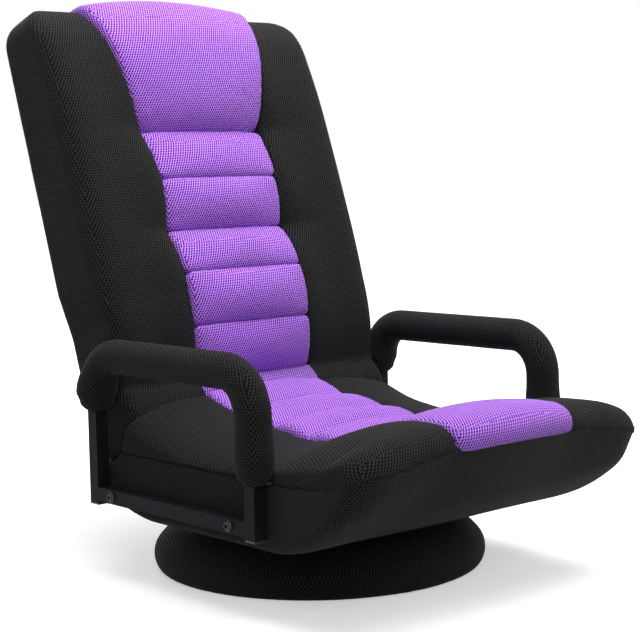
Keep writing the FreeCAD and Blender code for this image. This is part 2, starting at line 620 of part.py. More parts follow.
def make_arm(name, side):
    sign = "" if side > 0 else "-"
    place = f"{sign}arm_spacing / 2"
    foot = "(rail_height - arm_tube / 2 - post_drop)"
    front = "(-arm_front + arm_tube / 2)"
    rear = "(arm_rear - arm_tube / 2)"
    front_y = -S.arm_front + S.arm_tube / 2
    rear_y = S.arm_rear - S.arm_tube / 2
    foot_z = S.rail_height - S.arm_tube / 2 - S.post_drop

    frame = new_body(f"arm_frame_{name}")
    line = new_sketch(frame, f"ArmLine{name}", "YZ_Plane")
    add_u_path(line, (front, rear), (foot, foot), "arm_height", "arm_bend",
               (front_y, rear_y, foot_z, S.arm_height, S.arm_bend))
    section = new_sketch(frame, f"ArmSection{name}", "XY_Plane", foot)
    add_square_ring(section, "0", front, "arm_tube", "tube_wall")
    tube = frame.newObject("PartDesign::AdditivePipe", f"ArmTube{name}")
    tube.Profile = section
    tube.Spine = line
    bind(frame, Placement__Base__x=place)

    rail = new_body(f"arm_rail_{name}")
    section = new_sketch(rail, f"RailSection{name}", "XZ_Plane", "-(arm_rear - arm_tube)")
    add_square_ring(section, "0", "rail_height", "arm_tube", "tube_wall")
    pad(rail, section, "arm_front + arm_rear - 2 * arm_tube")
    holes = new_sketch(rail, f"RailHoles{name}", "YZ_Plane")
    add_circle(holes, "-arm_front + arm_tube + bolt_inset", "rail_height", "bolt_diameter / 2 + running")
    add_circle(holes, "arm_rear - arm_tube - bolt_inset", "rail_height", "bolt_diameter / 2 + running")
    pocket_through(rail, holes)
    bind(rail, Placement__Base__x=place)

    # Plugs: a square head under the post and a stub inside it.
    half = S.arm_tube / 2
    stub = half - S.tube_wall - S.running
    plugs = []
    for y in (front_y, rear_y):
        head = box_between((-half, y - half, foot_z - S.plug_thickness), (half, y + half, foot_z))
        core = box_between((-stub, y - stub, foot_z), (stub, y + stub, foot_z + S.plug_depth))
        plugs.append(head.fuse(core).removeSplitter())
    aside = Placement(Vector(side * ARM_X, 0, 0), Rotation())
    add_shape(f"arm_plugs_{name}", Part.makeCompound(plugs), aside)

    # Sleeve: a round pipe along the tube's own middle line, with a square bore.
    bend = S.arm_bend
    diagonal = bend * math.sqrt(0.5)
    top = S.arm_height
    line = Part.Wire([
        Part.LineSegment(Vector(0, front_y, PAD_FRONT_END), Vector(0, front_y, top - bend)).toShape(),
        Part.Arc(Vector(0, front_y, top - bend),
                 Vector(0, front_y + bend - diagonal, top - bend + diagonal),
                 Vector(0, front_y + bend, top)).toShape(),
        Part.LineSegment(Vector(0, front_y + bend, top), Vector(0, rear_y - bend, top)).toShape(),
        Part.Arc(Vector(0, rear_y - bend, top),
                 Vector(0, rear_y - bend + diagonal, top - bend + diagonal),
                 Vector(0, rear_y, top - bend)).toShape(),
        Part.LineSegment(Vector(0, rear_y, top - bend), Vector(0, rear_y, PAD_REAR_END)).toShape(),
    ])
    start = Vector(0, front_y, PAD_FRONT_END)
    circle = Part.Wire([Part.Circle(start, Vector(0, 0, 1), S.pad_diameter / 2).toShape()])
    bore = half + S.running
    corners = [start + Vector(sx * bore, sy * bore, 0) for sx, sy in ((-1, -1), (1, -1), (1, 1), (-1, 1))]
    square = Part.makePolygon(corners + corners[:1])
    sleeve = line.makePipeShell([circle], True, False)
    ends = []
    for edge in sleeve.Edges:
        low, high = edge.BoundBox.ZMin, edge.BoundBox.ZMax
        off = min(abs(low - PAD_FRONT_END), abs(low - PAD_REAR_END))
        if high - low < S.clearance and off < S.clearance:
            ends.append(edge)
    sleeve = sleeve.makeFillet(S.pad_round, ends)
    sleeve = sleeve.cut(line.makePipeShell([square], True, False))
    add_shape(f"arm_pad_{name}", sleeve, aside)

    # Bolts through rail, bush and frame; the rear one also holds the hinge bracket.
    bolts, nuts, bushes = [], [], []
    for y, seat_face in zip(BOLT_PLACES, (BRACKET_OUTER, BRACKET_INNER)):
        shank = S.bolt_diameter / 2
        length = RAIL_OUTER - seat_face + S.nut_height + shank / 2
        bolt = turned((0, -length), (shank, -length), (shank, 0), (S.bolt_head, 0),
                      (S.bolt_head, HEAD_RIM * S.bolt_head_height),
                      (HEAD_TOP * S.bolt_head, S.bolt_head_height),
                      (0, S.bolt_head_height))
        bolt = bolt.cut(hex_prism(SOCKET_FLAT * S.bolt_head, SOCKET_FLOOR * S.bolt_head_height, S.bolt_head))
        bolts.append(on_side(along_x(bolt, RAIL_OUTER, y, S.rail_height), side))
        nut = hex_nut(BOLT_HOLE, BOLT_NUT * S.bolt_diameter, 0, S.nut_height)
        nuts.append(on_side(along_x(nut, seat_face - S.nut_height, y, S.rail_height), side))
        bush = drum_along(S.spacer_radius, SEAT_TUBE_OUTER, RAIL_INNER, y, S.rail_height)
        bush = bush.cut(drum_along(BOLT_HOLE, SEAT_TUBE_OUTER, RAIL_INNER, y, S.rail_height))
        bushes.append(on_side(bush, side))
    add_shape(f"arm_bolts_{name}", Part.makeCompound(bolts))
    add_shape(f"arm_nuts_{name}", Part.makeCompound(nuts))
    add_shape(f"arm_spacers_{name}", Part.makeCompound(bushes))


def make_hinge(name, side):
    left = side > 0
    bracket = new_body(f"hinge_bracket_{name}")
    level = "hinge_plane - hinge_gap - hinge_plate" if left else "-(hinge_plane - hinge_gap)"
    low, high = "rail_height - seat_tube / 2", "rail_height + seat_tube / 2"
    neck = new_sketch(bracket, f"BracketNeck{name}", "YZ_Plane", level)
    add_polygon(neck, [
        ("frame_rear - rivet_reach - rivet_diameter", low),
        ("frame_rear", low),
        ("frame_rear", high + " - hinge_plate"),
        (f"hinge_setback + {BOSS_SIDE} * hinge_boss", f"hinge_height - {BOSS_LOW} * hinge_boss"),
        (f"hinge_setback - {BOSS_SIDE} * hinge_boss", f"hinge_height + {BOSS_LOW} * hinge_boss"),
        ("frame_rear - neck_width", high),
        ("frame_rear - rivet_reach - rivet_diameter", high),
    ])
    pad(bracket, neck, "hinge_plate")
    boss = new_sketch(bracket, f"BracketBoss{name}", "YZ_Plane", level)
    add_circle(boss, "hinge_setback", "hinge_height", "hinge_boss")
    pad(bracket, boss, "hinge_plate")
    holes = new_sketch(bracket, f"BracketHoles{name}", "YZ_Plane", level)
    add_circle(holes, "hinge_setback", "hinge_height", "hinge_pin / 2 + running")
    add_circle(holes, "arm_rear - arm_tube - bolt_inset", "rail_height", "bolt_diameter / 2 + running")
    for place in RIVET_PLACES_F:
        add_circle(holes, place, "rail_height", "rivet_diameter / 2 + running")
    pocket_through(bracket, holes)

    ratchet = new_body(f"hinge_ratchet_{name}")
    level = "hinge_plane" if left else "-(hinge_plane + hinge_plate)"
    rear, front = f"{BACK_TUBE_Y_F} + back_tube / 2", f"{BACK_TUBE_Y_F} - back_tube / 2"
    disc = new_sketch(ratchet, f"RatchetDisc{name}", "YZ_Plane", level)
    add_circle(disc, "0", "0", "hinge_boss")
    pad(ratchet, disc, "hinge_plate")
    notch = new_sketch(ratchet, f"RatchetNotch{name}", "YZ_Plane", level)
    notch.AttachmentOffset = Placement(Vector(), Rotation(Vector(0, 0, 1), 90))
    bind(notch, AttachmentOffset__Rotation__Angle="tooth_start")
    add_polygon(notch, [
        ("hinge_boss - tooth_depth", "0"),
        ("hinge_boss + tooth_depth", f"-{TOOTH_EASE} * tooth_depth"),
        ("hinge_boss + tooth_depth", f"{TOOTH_BACK} * hinge_boss * tan(tooth_pitch)"),
        ("hinge_boss", f"{TOOTH_BACK} * hinge_boss * tan(tooth_pitch)"),
    ])
    cut = pocket_through(ratchet, notch)
    polar(ratchet, cut, notch, "tooth_count", "tooth_pitch * (tooth_count - 1)")
    arm = new_sketch(ratchet, f"RatchetArm{name}", "YZ_Plane", level)
    add_polygon(arm, [
        (f"hinge_boss * {ARM_REAR[0]}", f"hinge_boss * {ARM_REAR[1]}"),
        (rear, "back_tube_start - hinge_plate"),
        (rear, "back_tube_start + ratchet_reach"),
        (front, "back_tube_start + ratchet_reach"),
        (front, "back_tube_start + hinge_plate"),
        (f"hinge_boss * {ARM_FRONT[0]}", f"hinge_boss * {ARM_FRONT[1]}"),
    ])
    pad(ratchet, arm, "hinge_plate")
    holes = new_sketch(ratchet, f"RatchetHoles{name}", "YZ_Plane", level)
    add_circle(holes, "0", "0", "hinge_pin / 2 + running")
    for place in RATCHET_RIVETS_F:
        add_circle(holes, BACK_TUBE_Y_F, place, "rivet_diameter / 2 + running")
    pocket_through(ratchet, holes)
    recline_body(ratchet)

    # Pin riveted over on both sides of the two plates.
    pin = S.hinge_pin / 2
    spare = S.clearance
    inner, outer = BRACKET_INNER - spare, RATCHET_OUTER + spare
    head = PIN_HEAD * pin
    shape = turned((0, inner - pin / 2), (head, inner - pin / 2), (head, inner), (pin, inner),
                   (pin, outer), (head, outer), (head, outer + pin / 2), (0, outer + pin / 2))
    shape = along_x(shape, 0, S.hinge_setback, S.hinge_height)
    add_shape(f"hinge_pivot_{name}", on_side(shape, side))

    # Spring pawl flat on the bracket, its tip just clear of the tooth tips.
    axis = Vector(0, S.hinge_setback, S.hinge_height)
    foot = Vector(0, S.frame_rear - S.neck_width / 2, TUBE_TOP)
    along = (foot - axis).normalize()
    across = Vector(0, along.z, -along.y)
    tip, width = S.hinge_boss + spare, S.rivet_diameter
    reach = (foot - axis).Length - S.hinge_plate
    corners = [axis + along * tip + across * width / 2, axis + along * (tip + width) - across * width / 2,
               axis + along * reach - across * width / 2, axis + along * reach + across * width / 2]
    blade = Part.Face(Part.makePolygon(corners + corners[:1])).extrude(Vector(S.hinge_plate - spare, 0, 0))
    blade.translate(Vector(BRACKET_OUTER, 0, 0))
    add_shape(f"hinge_pawl_{name}", on_side(blade, side))


def rivet(low, high):
    """Rivet along Z that clamps what lies between two places."""
    shank = S.rivet_diameter / 2
    head = RIVET_HEAD * shank
    return turned((0, low - shank / 2), (head, low - shank / 2), (head, low), (shank, low),
                  (shank, high), (head, high), (head, high + shank / 2), (0, high + shank / 2))


def make_rivets():
    seat, back = [], []
    for name, side in SIDES:
        for y in RIVET_PLACES:
            piece = along_x(rivet(BRACKET_INNER, BRACKET_OUTER + S.tube_wall), 0, y, S.rail_height)
            seat.append(on_side(piece, side))
        for z in RATCHET_RIVETS:
            piece = along_x(rivet(S.hinge_plane - S.back_tube, RATCHET_OUTER), 0, BACK_TUBE_Y, z)
            back.append(on_side(piece, side))
    add_shape("hinge_rivets", Part.makeCompound(seat))
    add_shape("hinge_ratchet_rivets", Part.makeCompound(back), RECLINED)


# Plan and section of the seat: share of its half width, how full its top is there, how far forward
# its front edge and how far down its underside reach, as shares of the reach in the middle.
SEAT_STATIONS = ((1, 0.33, 0.886, 0.9), (0.9407, 0.57, 0.932, 0.98), (0.8263, 0.8, 0.96, 1),
                 (0.6356, 0.98, 0.972, 1))
# Side view of the bolsters: place along the seat, as a share of the way from the swivel axis to the
# front seam, share of the rise from the lowest line to the rear edge or the crest of the roll, and
# slackness of the sides there, as a power of their fullness.
REAR_EDGE = (1, 0.4)
REAR_RISE = ((-0.125, 0.37, 1.0), (0.1944, 0.02, 1.6))
ROLL_RISE = ((0.3889, 0.06, 1.6), (0.5778, 0.4, 1), (0.7333, 0.88, 1), (0.8833, 1.0, 1), (0.9722, 0.72, 1))
# Seams of the sewn channels: place along the seat, share of the rise to the rear edge, and fullness
# of the channel behind the seam.
CHANNEL_SEAMS = ((-0.1486, 0.42, 0.5), (0.0806, 0.16, 0.9), (0.2639, 0.0, 1.0), (0.4167, 0.04, 0.9))
# Side view of the front roll between the bolsters: place along the seat, share of its rise.
FRONT_ROLL = ((0.5111, 0.14), (0.5917, 0.4), (0.7361, 0.9), (0.8833, 1.0), (0.9917, 0.67))
# Plan of the front roll: shares of the column's half width.
ROLL_STATIONS = (-1, -0.55, 0, 0.55, 1)
# Corners of the line that stands for the rising seam.
SEAM_STEPS = 6


def seam_at(y):
    """Height of the seam round the seat: level at the sides, rising to the front."""
    rise = max(0.0, -S.seam_rise_start - y) / (S.seat_front - S.seam_rise_start)
    return S.seam_height + (S.front_seam_height - S.seam_height) * rise ** 1.5


def seam_block(lift):
    """Everything below the seam, lifted a little; its upper side is the seam's own surface."""
    reach = SEAT_HALF + S.pad_diameter
    line = [Vector(-reach, S.seat_rear + reach, seam_at(0) + lift)]
    for step in range(SEAM_STEPS + 1):
        y = between(-S.seam_rise_start, -S.seat_front, step / SEAM_STEPS)
        line.append(Vector(-reach, y, seam_at(y) + lift))
    line.append(Vector(-reach, -S.seat_front - reach, S.front_seam_height + lift))
    line.append(Vector(-reach, -S.seat_front - reach, -reach))
    line.append(Vector(-reach, S.seat_rear + reach, -reach))
    return Part.Face(Part.makePolygon(line + line[:1])).extrude(Vector(2 * reach, 0, 0))


def seat_stations():
    """Places across one half of the seat, from the column to the side: x, fullness, front, underside."""
    column_edge = (COLUMN_HALF + S.clearance, 1.0, S.front_sweep - S.seat_front, S.belly_height)
    return [column_edge] + [(wide * SEAT_HALF, full, -ahead * S.seat_front, S.belly_height / drop)
                            for wide, full, ahead, drop in reversed(SEAT_STATIONS)]


def between(low, high, share):
    return low + share * (high - low)


def bow(start, end, height):
    """Middle point of an arc between two points of one YZ plane, raised to the left of the run."""
    run = end - start
    return (start + end) / 2 + Vector(0, -run.z, run.y).normalize() * height


def cup():
    """Room for the back's rounded lower end, at the rear of the seat."""
    return drum_along(S.knuckle_radius + S.cup_gap, -SEAT_HALF - S.arm_tube, SEAT_HALF + S.arm_tube,
                      S.hinge_setback, S.hinge_height)


def neck_room():
    """Room for the hinge brackets where they rise to the recline axis."""
    gap = S.clearance
    rise = S.hinge_height + BOSS_LOW * S.hinge_boss
    corners = [Vector(BRACKET_INNER - gap, S.frame_rear - S.neck_width - gap, TUBE_TOP),
               Vector(BRACKET_INNER - gap, S.hinge_setback - BOSS_SIDE * S.hinge_boss - gap, rise),
               Vector(BRACKET_INNER - gap, S.hinge_setback, S.hinge_height),
               Vector(BRACKET_INNER - gap, S.frame_rear, TUBE_TOP)]
    slab = Part.Face(Part.makePolygon(corners + corners[:1]))
    slab = slab.extrude(Vector(RATCHET_OUTER - BRACKET_INNER + 2 * gap, 0, 0))
    return Part.makeCompound([slab, mirrored(slab)])


def sleeve_room():
    """Room for the arm sleeves beside the seat."""
    height = S.arm_height
    room = []
    for side in (-1, 1):
        spot = Vector(side * ARM_X, -S.arm_front + S.arm_tube / 2, PAD_FRONT_END - S.clearance)
        room.append(Part.makeCylinder(S.pad_diameter / 2 + S.clearance, height, spot))
    return Part.makeCompound(room)


def loft(wires):
    return Part.makeLoft(wires, True, False)


def make_seat_top():
    keel = S.belly_height
    rear = S.hinge_setback - S.knuckle_radius / 2
    wires = []
    for x, full, front, low in seat_stations():
        squeeze = front / -S.seat_front

        def spot(y, share, slack, peak):
            level = seam_at(y)
            height = between(level, between(S.dip_height, peak, share), full ** slack)
            return Vector(x, y * squeeze if y < 0 else y, height)
        slope = [spot(-along * S.seat_front, *rise, LIP_HEIGHT) for along, *rise in REAR_RISE]
        roll = [spot(-along * S.seat_front, *rise, S.crest_height) for along, *rise in ROLL_RISE]
        wires.append(closed_wire(
            Vector(x, rear, keel),
            (spot(rear, *REAR_EDGE, LIP_HEIGHT),),
            (slope[0], slope[1]),
            (roll[0], roll[1]),
            (roll[2], roll[3]),
            (roll[4], Vector(x, front, seam_at(front) + S.clearance)),
            (Vector(x, front, keel),),
        ))
    half = loft(wires)
    half = half.cut(seam_block(S.clearance)).cut(cup()).cut(sleeve_room()).cut(neck_room())
    for name, side in SIDES:
        add_shape(f"seat_bolster_{name}", on_side(half, side))

    block = seam_block(S.clearance)
    rolls = []
    y0, z0 = rear, LIP_HEIGHT
    for along, share, full in CHANNEL_SEAMS:
        y1, z1 = -along * S.seat_front, between(S.dip_height, LIP_HEIGHT, share)
        wires = []
        for x, bulge in column_stations(full * S.seat_bulge):
            start, end = Vector(x, y0 - S.clearance, z0), Vector(x, y1, z1)
            wires.append(closed_wire(Vector(x, y0 - S.clearance, keel), (start,),
                                     (bow(start, end, -bulge), end), (Vector(x, y1, keel),)))
        rolls.append(loft(wires).cut(block).cut(cup()))
        y0, z0 = y1, z1
    add_shape("seat_channel_pads", Part.makeCompound(rolls))

    y0 = y0 - S.clearance
    wires = []
    for share in ROLL_STATIONS:
        x = share * COLUMN_HALF
        front = -S.seat_front + S.front_sweep * share ** 2
        crest = S.crest_height + S.roll_crown * (1 - share ** 2)
        spots = [Vector(x, -along * S.seat_front, between(z0, crest, rise)) for along, rise in FRONT_ROLL]
        brow = Vector(x, FRONT_ROLL[-1][0] * front, spots[-1].z)
        wires.append(closed_wire(
            Vector(x, y0, keel),
            (Vector(x, y0, z0),),
            (spots[0], spots[1]),
            (spots[2], spots[3]),
            (brow, Vector(x, front, seam_at(front))),
            (Vector(x, front, keel),),
        ))
    add_shape("seat_front_roll", loft(wires).cut(block))


def column_stations(bulge):
    """Places across the column, fuller in the middle than at the seams."""
    full = CHANNEL_FULL * COLUMN_HALF
    end = CHANNEL_END * bulge
    return ((-COLUMN_HALF, end), (-full, bulge), (full, bulge), (COLUMN_HALF, end))


def make_seat_underbody():
    rear = S.seat_rear
    knuckle_low = S.hinge_height - S.knuckle_radius - S.cup_gap - S.clearance
    top = S.crest_height
    stations = [(0, -S.seat_front, S.belly_height)]
    stations += [(x, front, low) for x, full, front, low in seat_stations()]
    sections = []
    for place, front, low in stations:
        squeeze = front / -S.seat_front
        for x in {place, -place}:
            brow = Vector(x, front, seam_at(front))
            keel = Vector(x, -S.belly_front * squeeze, low)
            heel = Vector(x, S.belly_rear, low)
            tail = Vector(x, rear, TAIL_HEIGHT + low - S.belly_height)
            wire = closed_wire(
                Vector(x, front, top),
                (brow,),
                (bow(brow, keel, -S.belly_bulge), keel),
                (heel,),
                (bow(heel, tail, -S.tail_bulge), tail),
                (Vector(x, rear, knuckle_low),),
                (Vector(x, S.hinge_setback, knuckle_low),),
                (Vector(x, S.hinge_setback - S.knuckle_radius, top),),
            )
            sections.append((x, wire))
    sections.sort(key=lambda item: item[0])
    body = loft([wire for x, wire in sections])
    body = body.common(seam_block(0)).cut(cup()).cut(sleeve_room())

    # Pockets for frame, foam, swivel plate, pedestal, hinge plates and arm bushes.
    gap = S.clearance
    side = SEAT_TUBE_OUTER + gap
    foam_bottom = TUBE_TOP + S.foam_space
    front, tail = -S.frame_front - gap, S.frame_rear + gap
    foam_rear = S.hinge_setback - S.knuckle_radius - S.hinge_slot
    corner = S.frame_bend + S.seat_tube / 2 + gap
    body = body.cut(tray(side, front, tail, TUBE_BOTTOM - gap, foam_bottom, corner))
    body = body.cut(tray(side, front, foam_rear, TUBE_BOTTOM, S.crest_height, corner))
    plate = S.plate_width / 2 + gap
    body = body.cut(box_between((-plate, -plate, PLATE_BOTTOM - gap), (plate, plate, TUBE_BOTTOM)))
    body = body.cut(Part.makeCylinder(S.drum_radius + S.hinge_slot, S.rail_height))
    for way in (-1, 1):
        inner, outer = BRACKET_INNER - S.hinge_slot, RATCHET_OUTER + S.hinge_slot
        xs = (inner, outer) if way > 0 else (-outer, -inner)
        body = body.cut(box_between((xs[0], foam_rear - gap, TUBE_TOP - S.hinge_plate - gap),
                                    (xs[1], S.hinge_setback + S.hinge_boss / 2, S.seam_height)))
        for y in BOLT_PLACES:
            xs = (0, SEAT_HALF + gap) if way > 0 else (-SEAT_HALF - gap, 0)
            body = body.cut(drum_along(S.spacer_radius + gap, xs[0], xs[1], y, S.rail_height))
    add_shape("seat_underbody", body)

    foam_top = S.seam_height - gap
    slab = tray(side - gap, front + gap, foam_rear - gap, foam_bottom + gap, foam_top, corner - gap)
    add_shape("seat_foam", slab)


def tray(half, front, rear, low, high, corner):
    """Block with rounded front corners, as wide as the seat frame."""
    slant = corner * (1 - math.sqrt(0.5))
    wire = closed_wire(
        Vector(-half, rear, low),
        (Vector(-half, front + corner, low),),
        (Vector(slant - half, front + slant, low), Vector(corner - half, front, low)),
        (Vector(half - corner, front, low),),
        (Vector(half - slant, front + slant, low), Vector(half, front + corner, low)),
        (Vector(half, rear, low),),
    )
    return Part.Face(wire).extrude(Vector(0, 0, high - low))


# A back bolster from the column to the side: share of its width, share of its depth, and share of
# the dimples that the seams of the column draw into it.
BOLSTER_STATIONS = ((0, 0.95, 1), (0.3, 1.0, 0.3), (0.65, 1.0, 0), (0.9, 0.92, 0), (1, 0.62, 0))
# Side view of a bolster up to the head pillow's seam, and from there to the top: share of that
# height, share of the depth beside the column, and at the side.
BOLSTER_RISE = ((0.2338, 0.92, 0.88), (0.3896, 1.05, 0.98), (0.5195, 1.0, 1.02), (0.6234, 0.73, 1.03),
                (0.8078, 0.98, 1.02))
HEAD_SEAM_DEPTH = (0.63, 0.99)
BOLSTER_TOP = ((0.3209, 0.85, 0.93), (0.6417, 0.8, 0.8), (0.8556, 0.53, 0.53), (0.9947, 0.12, 0.12))
# Seams of the column below the head pillow: share of that height, share of the bolsters' depth.
BACK_SEAMS = ((0.2701, 1.02), (0.4571, 1.14), (0.6234, 0.76), (0.8078, 0.97))
LOWER_ROLLS = 3
COLUMN_SEAM_DEPTH = 0.62
# The head pillow from its lower seam to its top: share of its height, share of its depth at the
# edges and in the middle.
PILLOW_STATIONS = ((0, 0.5, 0.57), (0.12, 0.72, 0.86), (0.38, 0.88, 1.0), (0.66, 0.86, 0.99),
                   (0.88, 0.62, 0.8),
                   (1, 0.42, 0.58))
# Its roll over the top, from side to side: share of its half width, of its depth and of its rise.
PILLOW_ROLL = ((-1, 0.42, 0.5), (-0.6, 0.54, 0.94), (0.6, 0.54, 0.94), (1, 0.42, 0.5))
BACK_STRAPS = 5


def hinge_room():
    """Free discs round both hinges, inside the back."""
    radius = S.knuckle_radius + S.hinge_slot
    inner, outer = BRACKET_INNER - S.hinge_slot, RATCHET_OUTER + S.hinge_slot / 1.5
    return Part.makeCompound([drum_along(radius, inner, outer), drum_along(radius, -outer, -inner)])


def make_back_frame():
    frame = new_body("back_frame")
    line = new_sketch(frame, "BackLine", "XZ_Plane", f"-{BACK_TUBE_Y_F}")
    top = "(back_length - back_tube_top - back_tube / 2)"
    top_z = S.back_length - S.back_tube_top - S.back_tube / 2
    bend = S.back_corner
    add_u_path(line, (f"-{BACK_TUBE_X_F}", BACK_TUBE_X_F), ("back_tube_start", "back_tube_start"), top,
               "back_corner", (-BACK_TUBE_X, BACK_TUBE_X, S.back_tube_start, top_z, bend))
    section = new_sketch(frame, "BackSection", "XY_Plane", "back_tube_start")
    add_square_ring(section, f"-{BACK_TUBE_X_F}", BACK_TUBE_Y_F, "back_tube", "tube_wall")
    tube = frame.newObject("PartDesign::AdditivePipe", "BackTube")
    tube.Profile = section
    tube.Spine = line
    doc.recompute()
    holes = new_sketch(frame, "BackRivetHoles", "YZ_Plane")
    for place in RATCHET_RIVETS_F:
        add_circle(holes, BACK_TUBE_Y_F, place, "rivet_diameter / 2 + running")
    pocket_through(frame, holes)
    recline_body(frame)

    # Two cross tubes between the legs, and straps in front of the legs.
    half = S.back_tube / 2
    inner = half - S.tube_wall
    reach = S.hinge_plane - S.back_tube
    bars = []
    for z in (S.back_tube_start + S.ratchet_reach, 0.5 * (S.back_tube_start + top_z) + S.ratchet_reach):
        bar = box_between((-reach, BACK_TUBE_Y - half, z - half), (reach, BACK_TUBE_Y + half, z + half))
        bars.append(bar.cut(box_between((-reach, BACK_TUBE_Y - inner, z - inner),
                                        (reach, BACK_TUBE_Y + inner, z + inner))))
    add_shape("back_cross_bars", Part.makeCompound(bars), RECLINED)
    straps = []
    face = BACK_TUBE_Y - half
    first, last = S.back_tube_start + S.strap_width, top_z - bend - S.strap_width / 2
    for step in range(BACK_STRAPS):
        z = between(first, last, step / (BACK_STRAPS - 1))
        straps.append(box_between((-S.hinge_plane, face - S.strap_thickness, z - S.strap_width / 2),
                                  (S.hinge_plane, face, z + S.strap_width / 2)))
    add_shape("back_webbing", Part.makeCompound(straps), RECLINED)


def make_back_panel():
    """Rear and side cover with the rounded lower end, open to the front for frame and foam."""
    radius, top, seam = S.knuckle_radius, S.back_length, S.back_seam
    round_top = S.back_top_round
    slant = math.sqrt(0.5)
    x = -SHOULDER_HALF

    def on_knuckle(angle):
        turn = math.radians(angle)
        return Vector(x, -radius * math.sin(turn), radius * math.cos(turn))
    lip = on_knuckle(S.crease_angle)
    section = closed_wire(
        Vector(x, seam, lip.z),
        (Vector(x, seam, top),),
        (Vector(x, radius - round_top, top),),
        (Vector(x, radius - round_top * (1 - slant), top - round_top * (1 - slant)),
         Vector(x, radius, top - round_top)),
        (Vector(x, radius, 0),),
        (Vector(x, radius * slant, -radius * slant), Vector(x, 0, -radius)),
        (Vector(x, -radius * slant, -radius * slant), Vector(x, -radius, 0)),
        (on_knuckle((S.crease_angle + 90) / 2), lip),
    )
    panel = Part.Face(section).extrude(Vector(2 * SHOULDER_HALF, 0, 0)).common(back_outline(0))
    rear_edges = [edge for edge in panel.Edges
                  if isinstance(edge.Curve, Part.Line) and abs(edge.CenterOfMass.x) > BACK_HALF - S.clearance
                  and edge.BoundBox.YMin > radius - S.clearance]
    panel = panel.makeFillet(S.back_round, rear_edges)
    side = RATCHET_OUTER + S.rivet_diameter
    pocket = box_between((-side, seam - radius, radius + S.cup_gap),
                         (side, radius - S.back_wall, top - S.back_tube_top + S.clearance))
    inset = BACK_HALF - side
    panel = panel.cut(pocket.common(back_outline(inset))).cut(hinge_room())
    inner = BRACKET_INNER - S.hinge_slot
    for low, high in ((inner, side), (-side, -inner)):
        panel = panel.cut(box_between((low, seam - radius, 0), (high, radius - S.back_wall, 2 * radius)))
    add_shape("back_panel", panel, RECLINED)

    front, rear = seam + S.clearance, BACK_TUBE_Y - S.back_tube / 2 - S.strap_thickness - S.clearance
    slab = box_between((-side + S.clearance, front, S.back_tube_start + S.hinge_boss / 2),
                       (side - S.clearance, rear, top - S.back_tube_top))
    add_shape("back_foam", slab.common(back_outline(inset + S.clearance)), RECLINED)


def back_outline(inset):
    """Front view of the back, wider above the arms, with rounded upper corners, as a deep block."""
    waist, half = BACK_HALF - inset, SHOULDER_HALF - inset
    top, corner = S.back_length - inset, S.back_corner - inset
    depth = S.knuckle_radius + S.head_depth + S.back_bulge
    slant = corner * (1 - math.sqrt(0.5))
    wire = closed_wire(
        Vector(-waist, -depth, -depth),
        (Vector(waist, -depth, -depth),),
        (Vector(waist, -depth, FLARE_START),),
        (Vector(half, -depth, FLARE_START + S.flare_length),),
        (Vector(half, -depth, top - corner),),
        (Vector(half - slant, -depth, top - slant), Vector(half - corner, -depth, top)),
        (Vector(corner - half, -depth, top),),
        (Vector(slant - half, -depth, top - slant), Vector(-half, -depth, top - corner)),
        (Vector(-half, -depth, FLARE_START + S.flare_length),),
        (Vector(-waist, -depth, FLARE_START),),
    )
    return Part.Face(wire).extrude(Vector(0, 2 * depth, 0))


def head_block(gap):
    """Flared outline of the head pillow and of the channel below it, through the back's whole depth."""
    depth = S.knuckle_radius + S.head_depth + S.back_bulge
    flare_start = BACK_SEAMS[-1][0] * S.head_start
    half = ((COLUMN_HALF, flare_start), (S.head_foot / 2, S.head_start), (S.head_width / 2, S.back_length),
            (S.head_width / 2, S.back_length + depth))
    corners = [Vector(x + gap, -depth, z) for x, z in half]
    corners += [Vector(-x - gap, -depth, z) for x, z in reversed(half)]
    return Part.Face(Part.makePolygon(corners + corners[:1])).extrude(Vector(0, 2 * depth, 0))


def make_back_bolsters(base):
    start, depth = S.bolster_start, S.bolster_depth
    inner = COLUMN_HALF + S.clearance
    rise = [(share * S.head_start, near, far) for share, near, far in BOLSTER_RISE]
    rise.append((S.head_start,) + HEAD_SEAM_DEPTH)
    rise += [(between(S.head_start, S.back_length, share), near, far) for share, near, far in BOLSTER_TOP]
    wires = []
    for share, full, dimple in BOLSTER_STATIONS:
        x = between(inner, SHOULDER_HALF, share)
        spots = [Vector(x, -full * depth * between(far, near, dimple), z) for z, near, far in rise]
        arcs = list(zip(spots[0::2], spots[1::2]))
        wires.append(closed_wire(Vector(x, base, start), (Vector(x, -start * full, start),), *arcs,
                                 (Vector(x, base, rise[-1][0]),)))
    half = loft(wires).common(back_outline(0)).cut(head_block(S.clearance)).cut(hinge_room())
    for name, side in SIDES:
        add_shape(f"back_bolster_{name}", on_side(half, side), RECLINED)


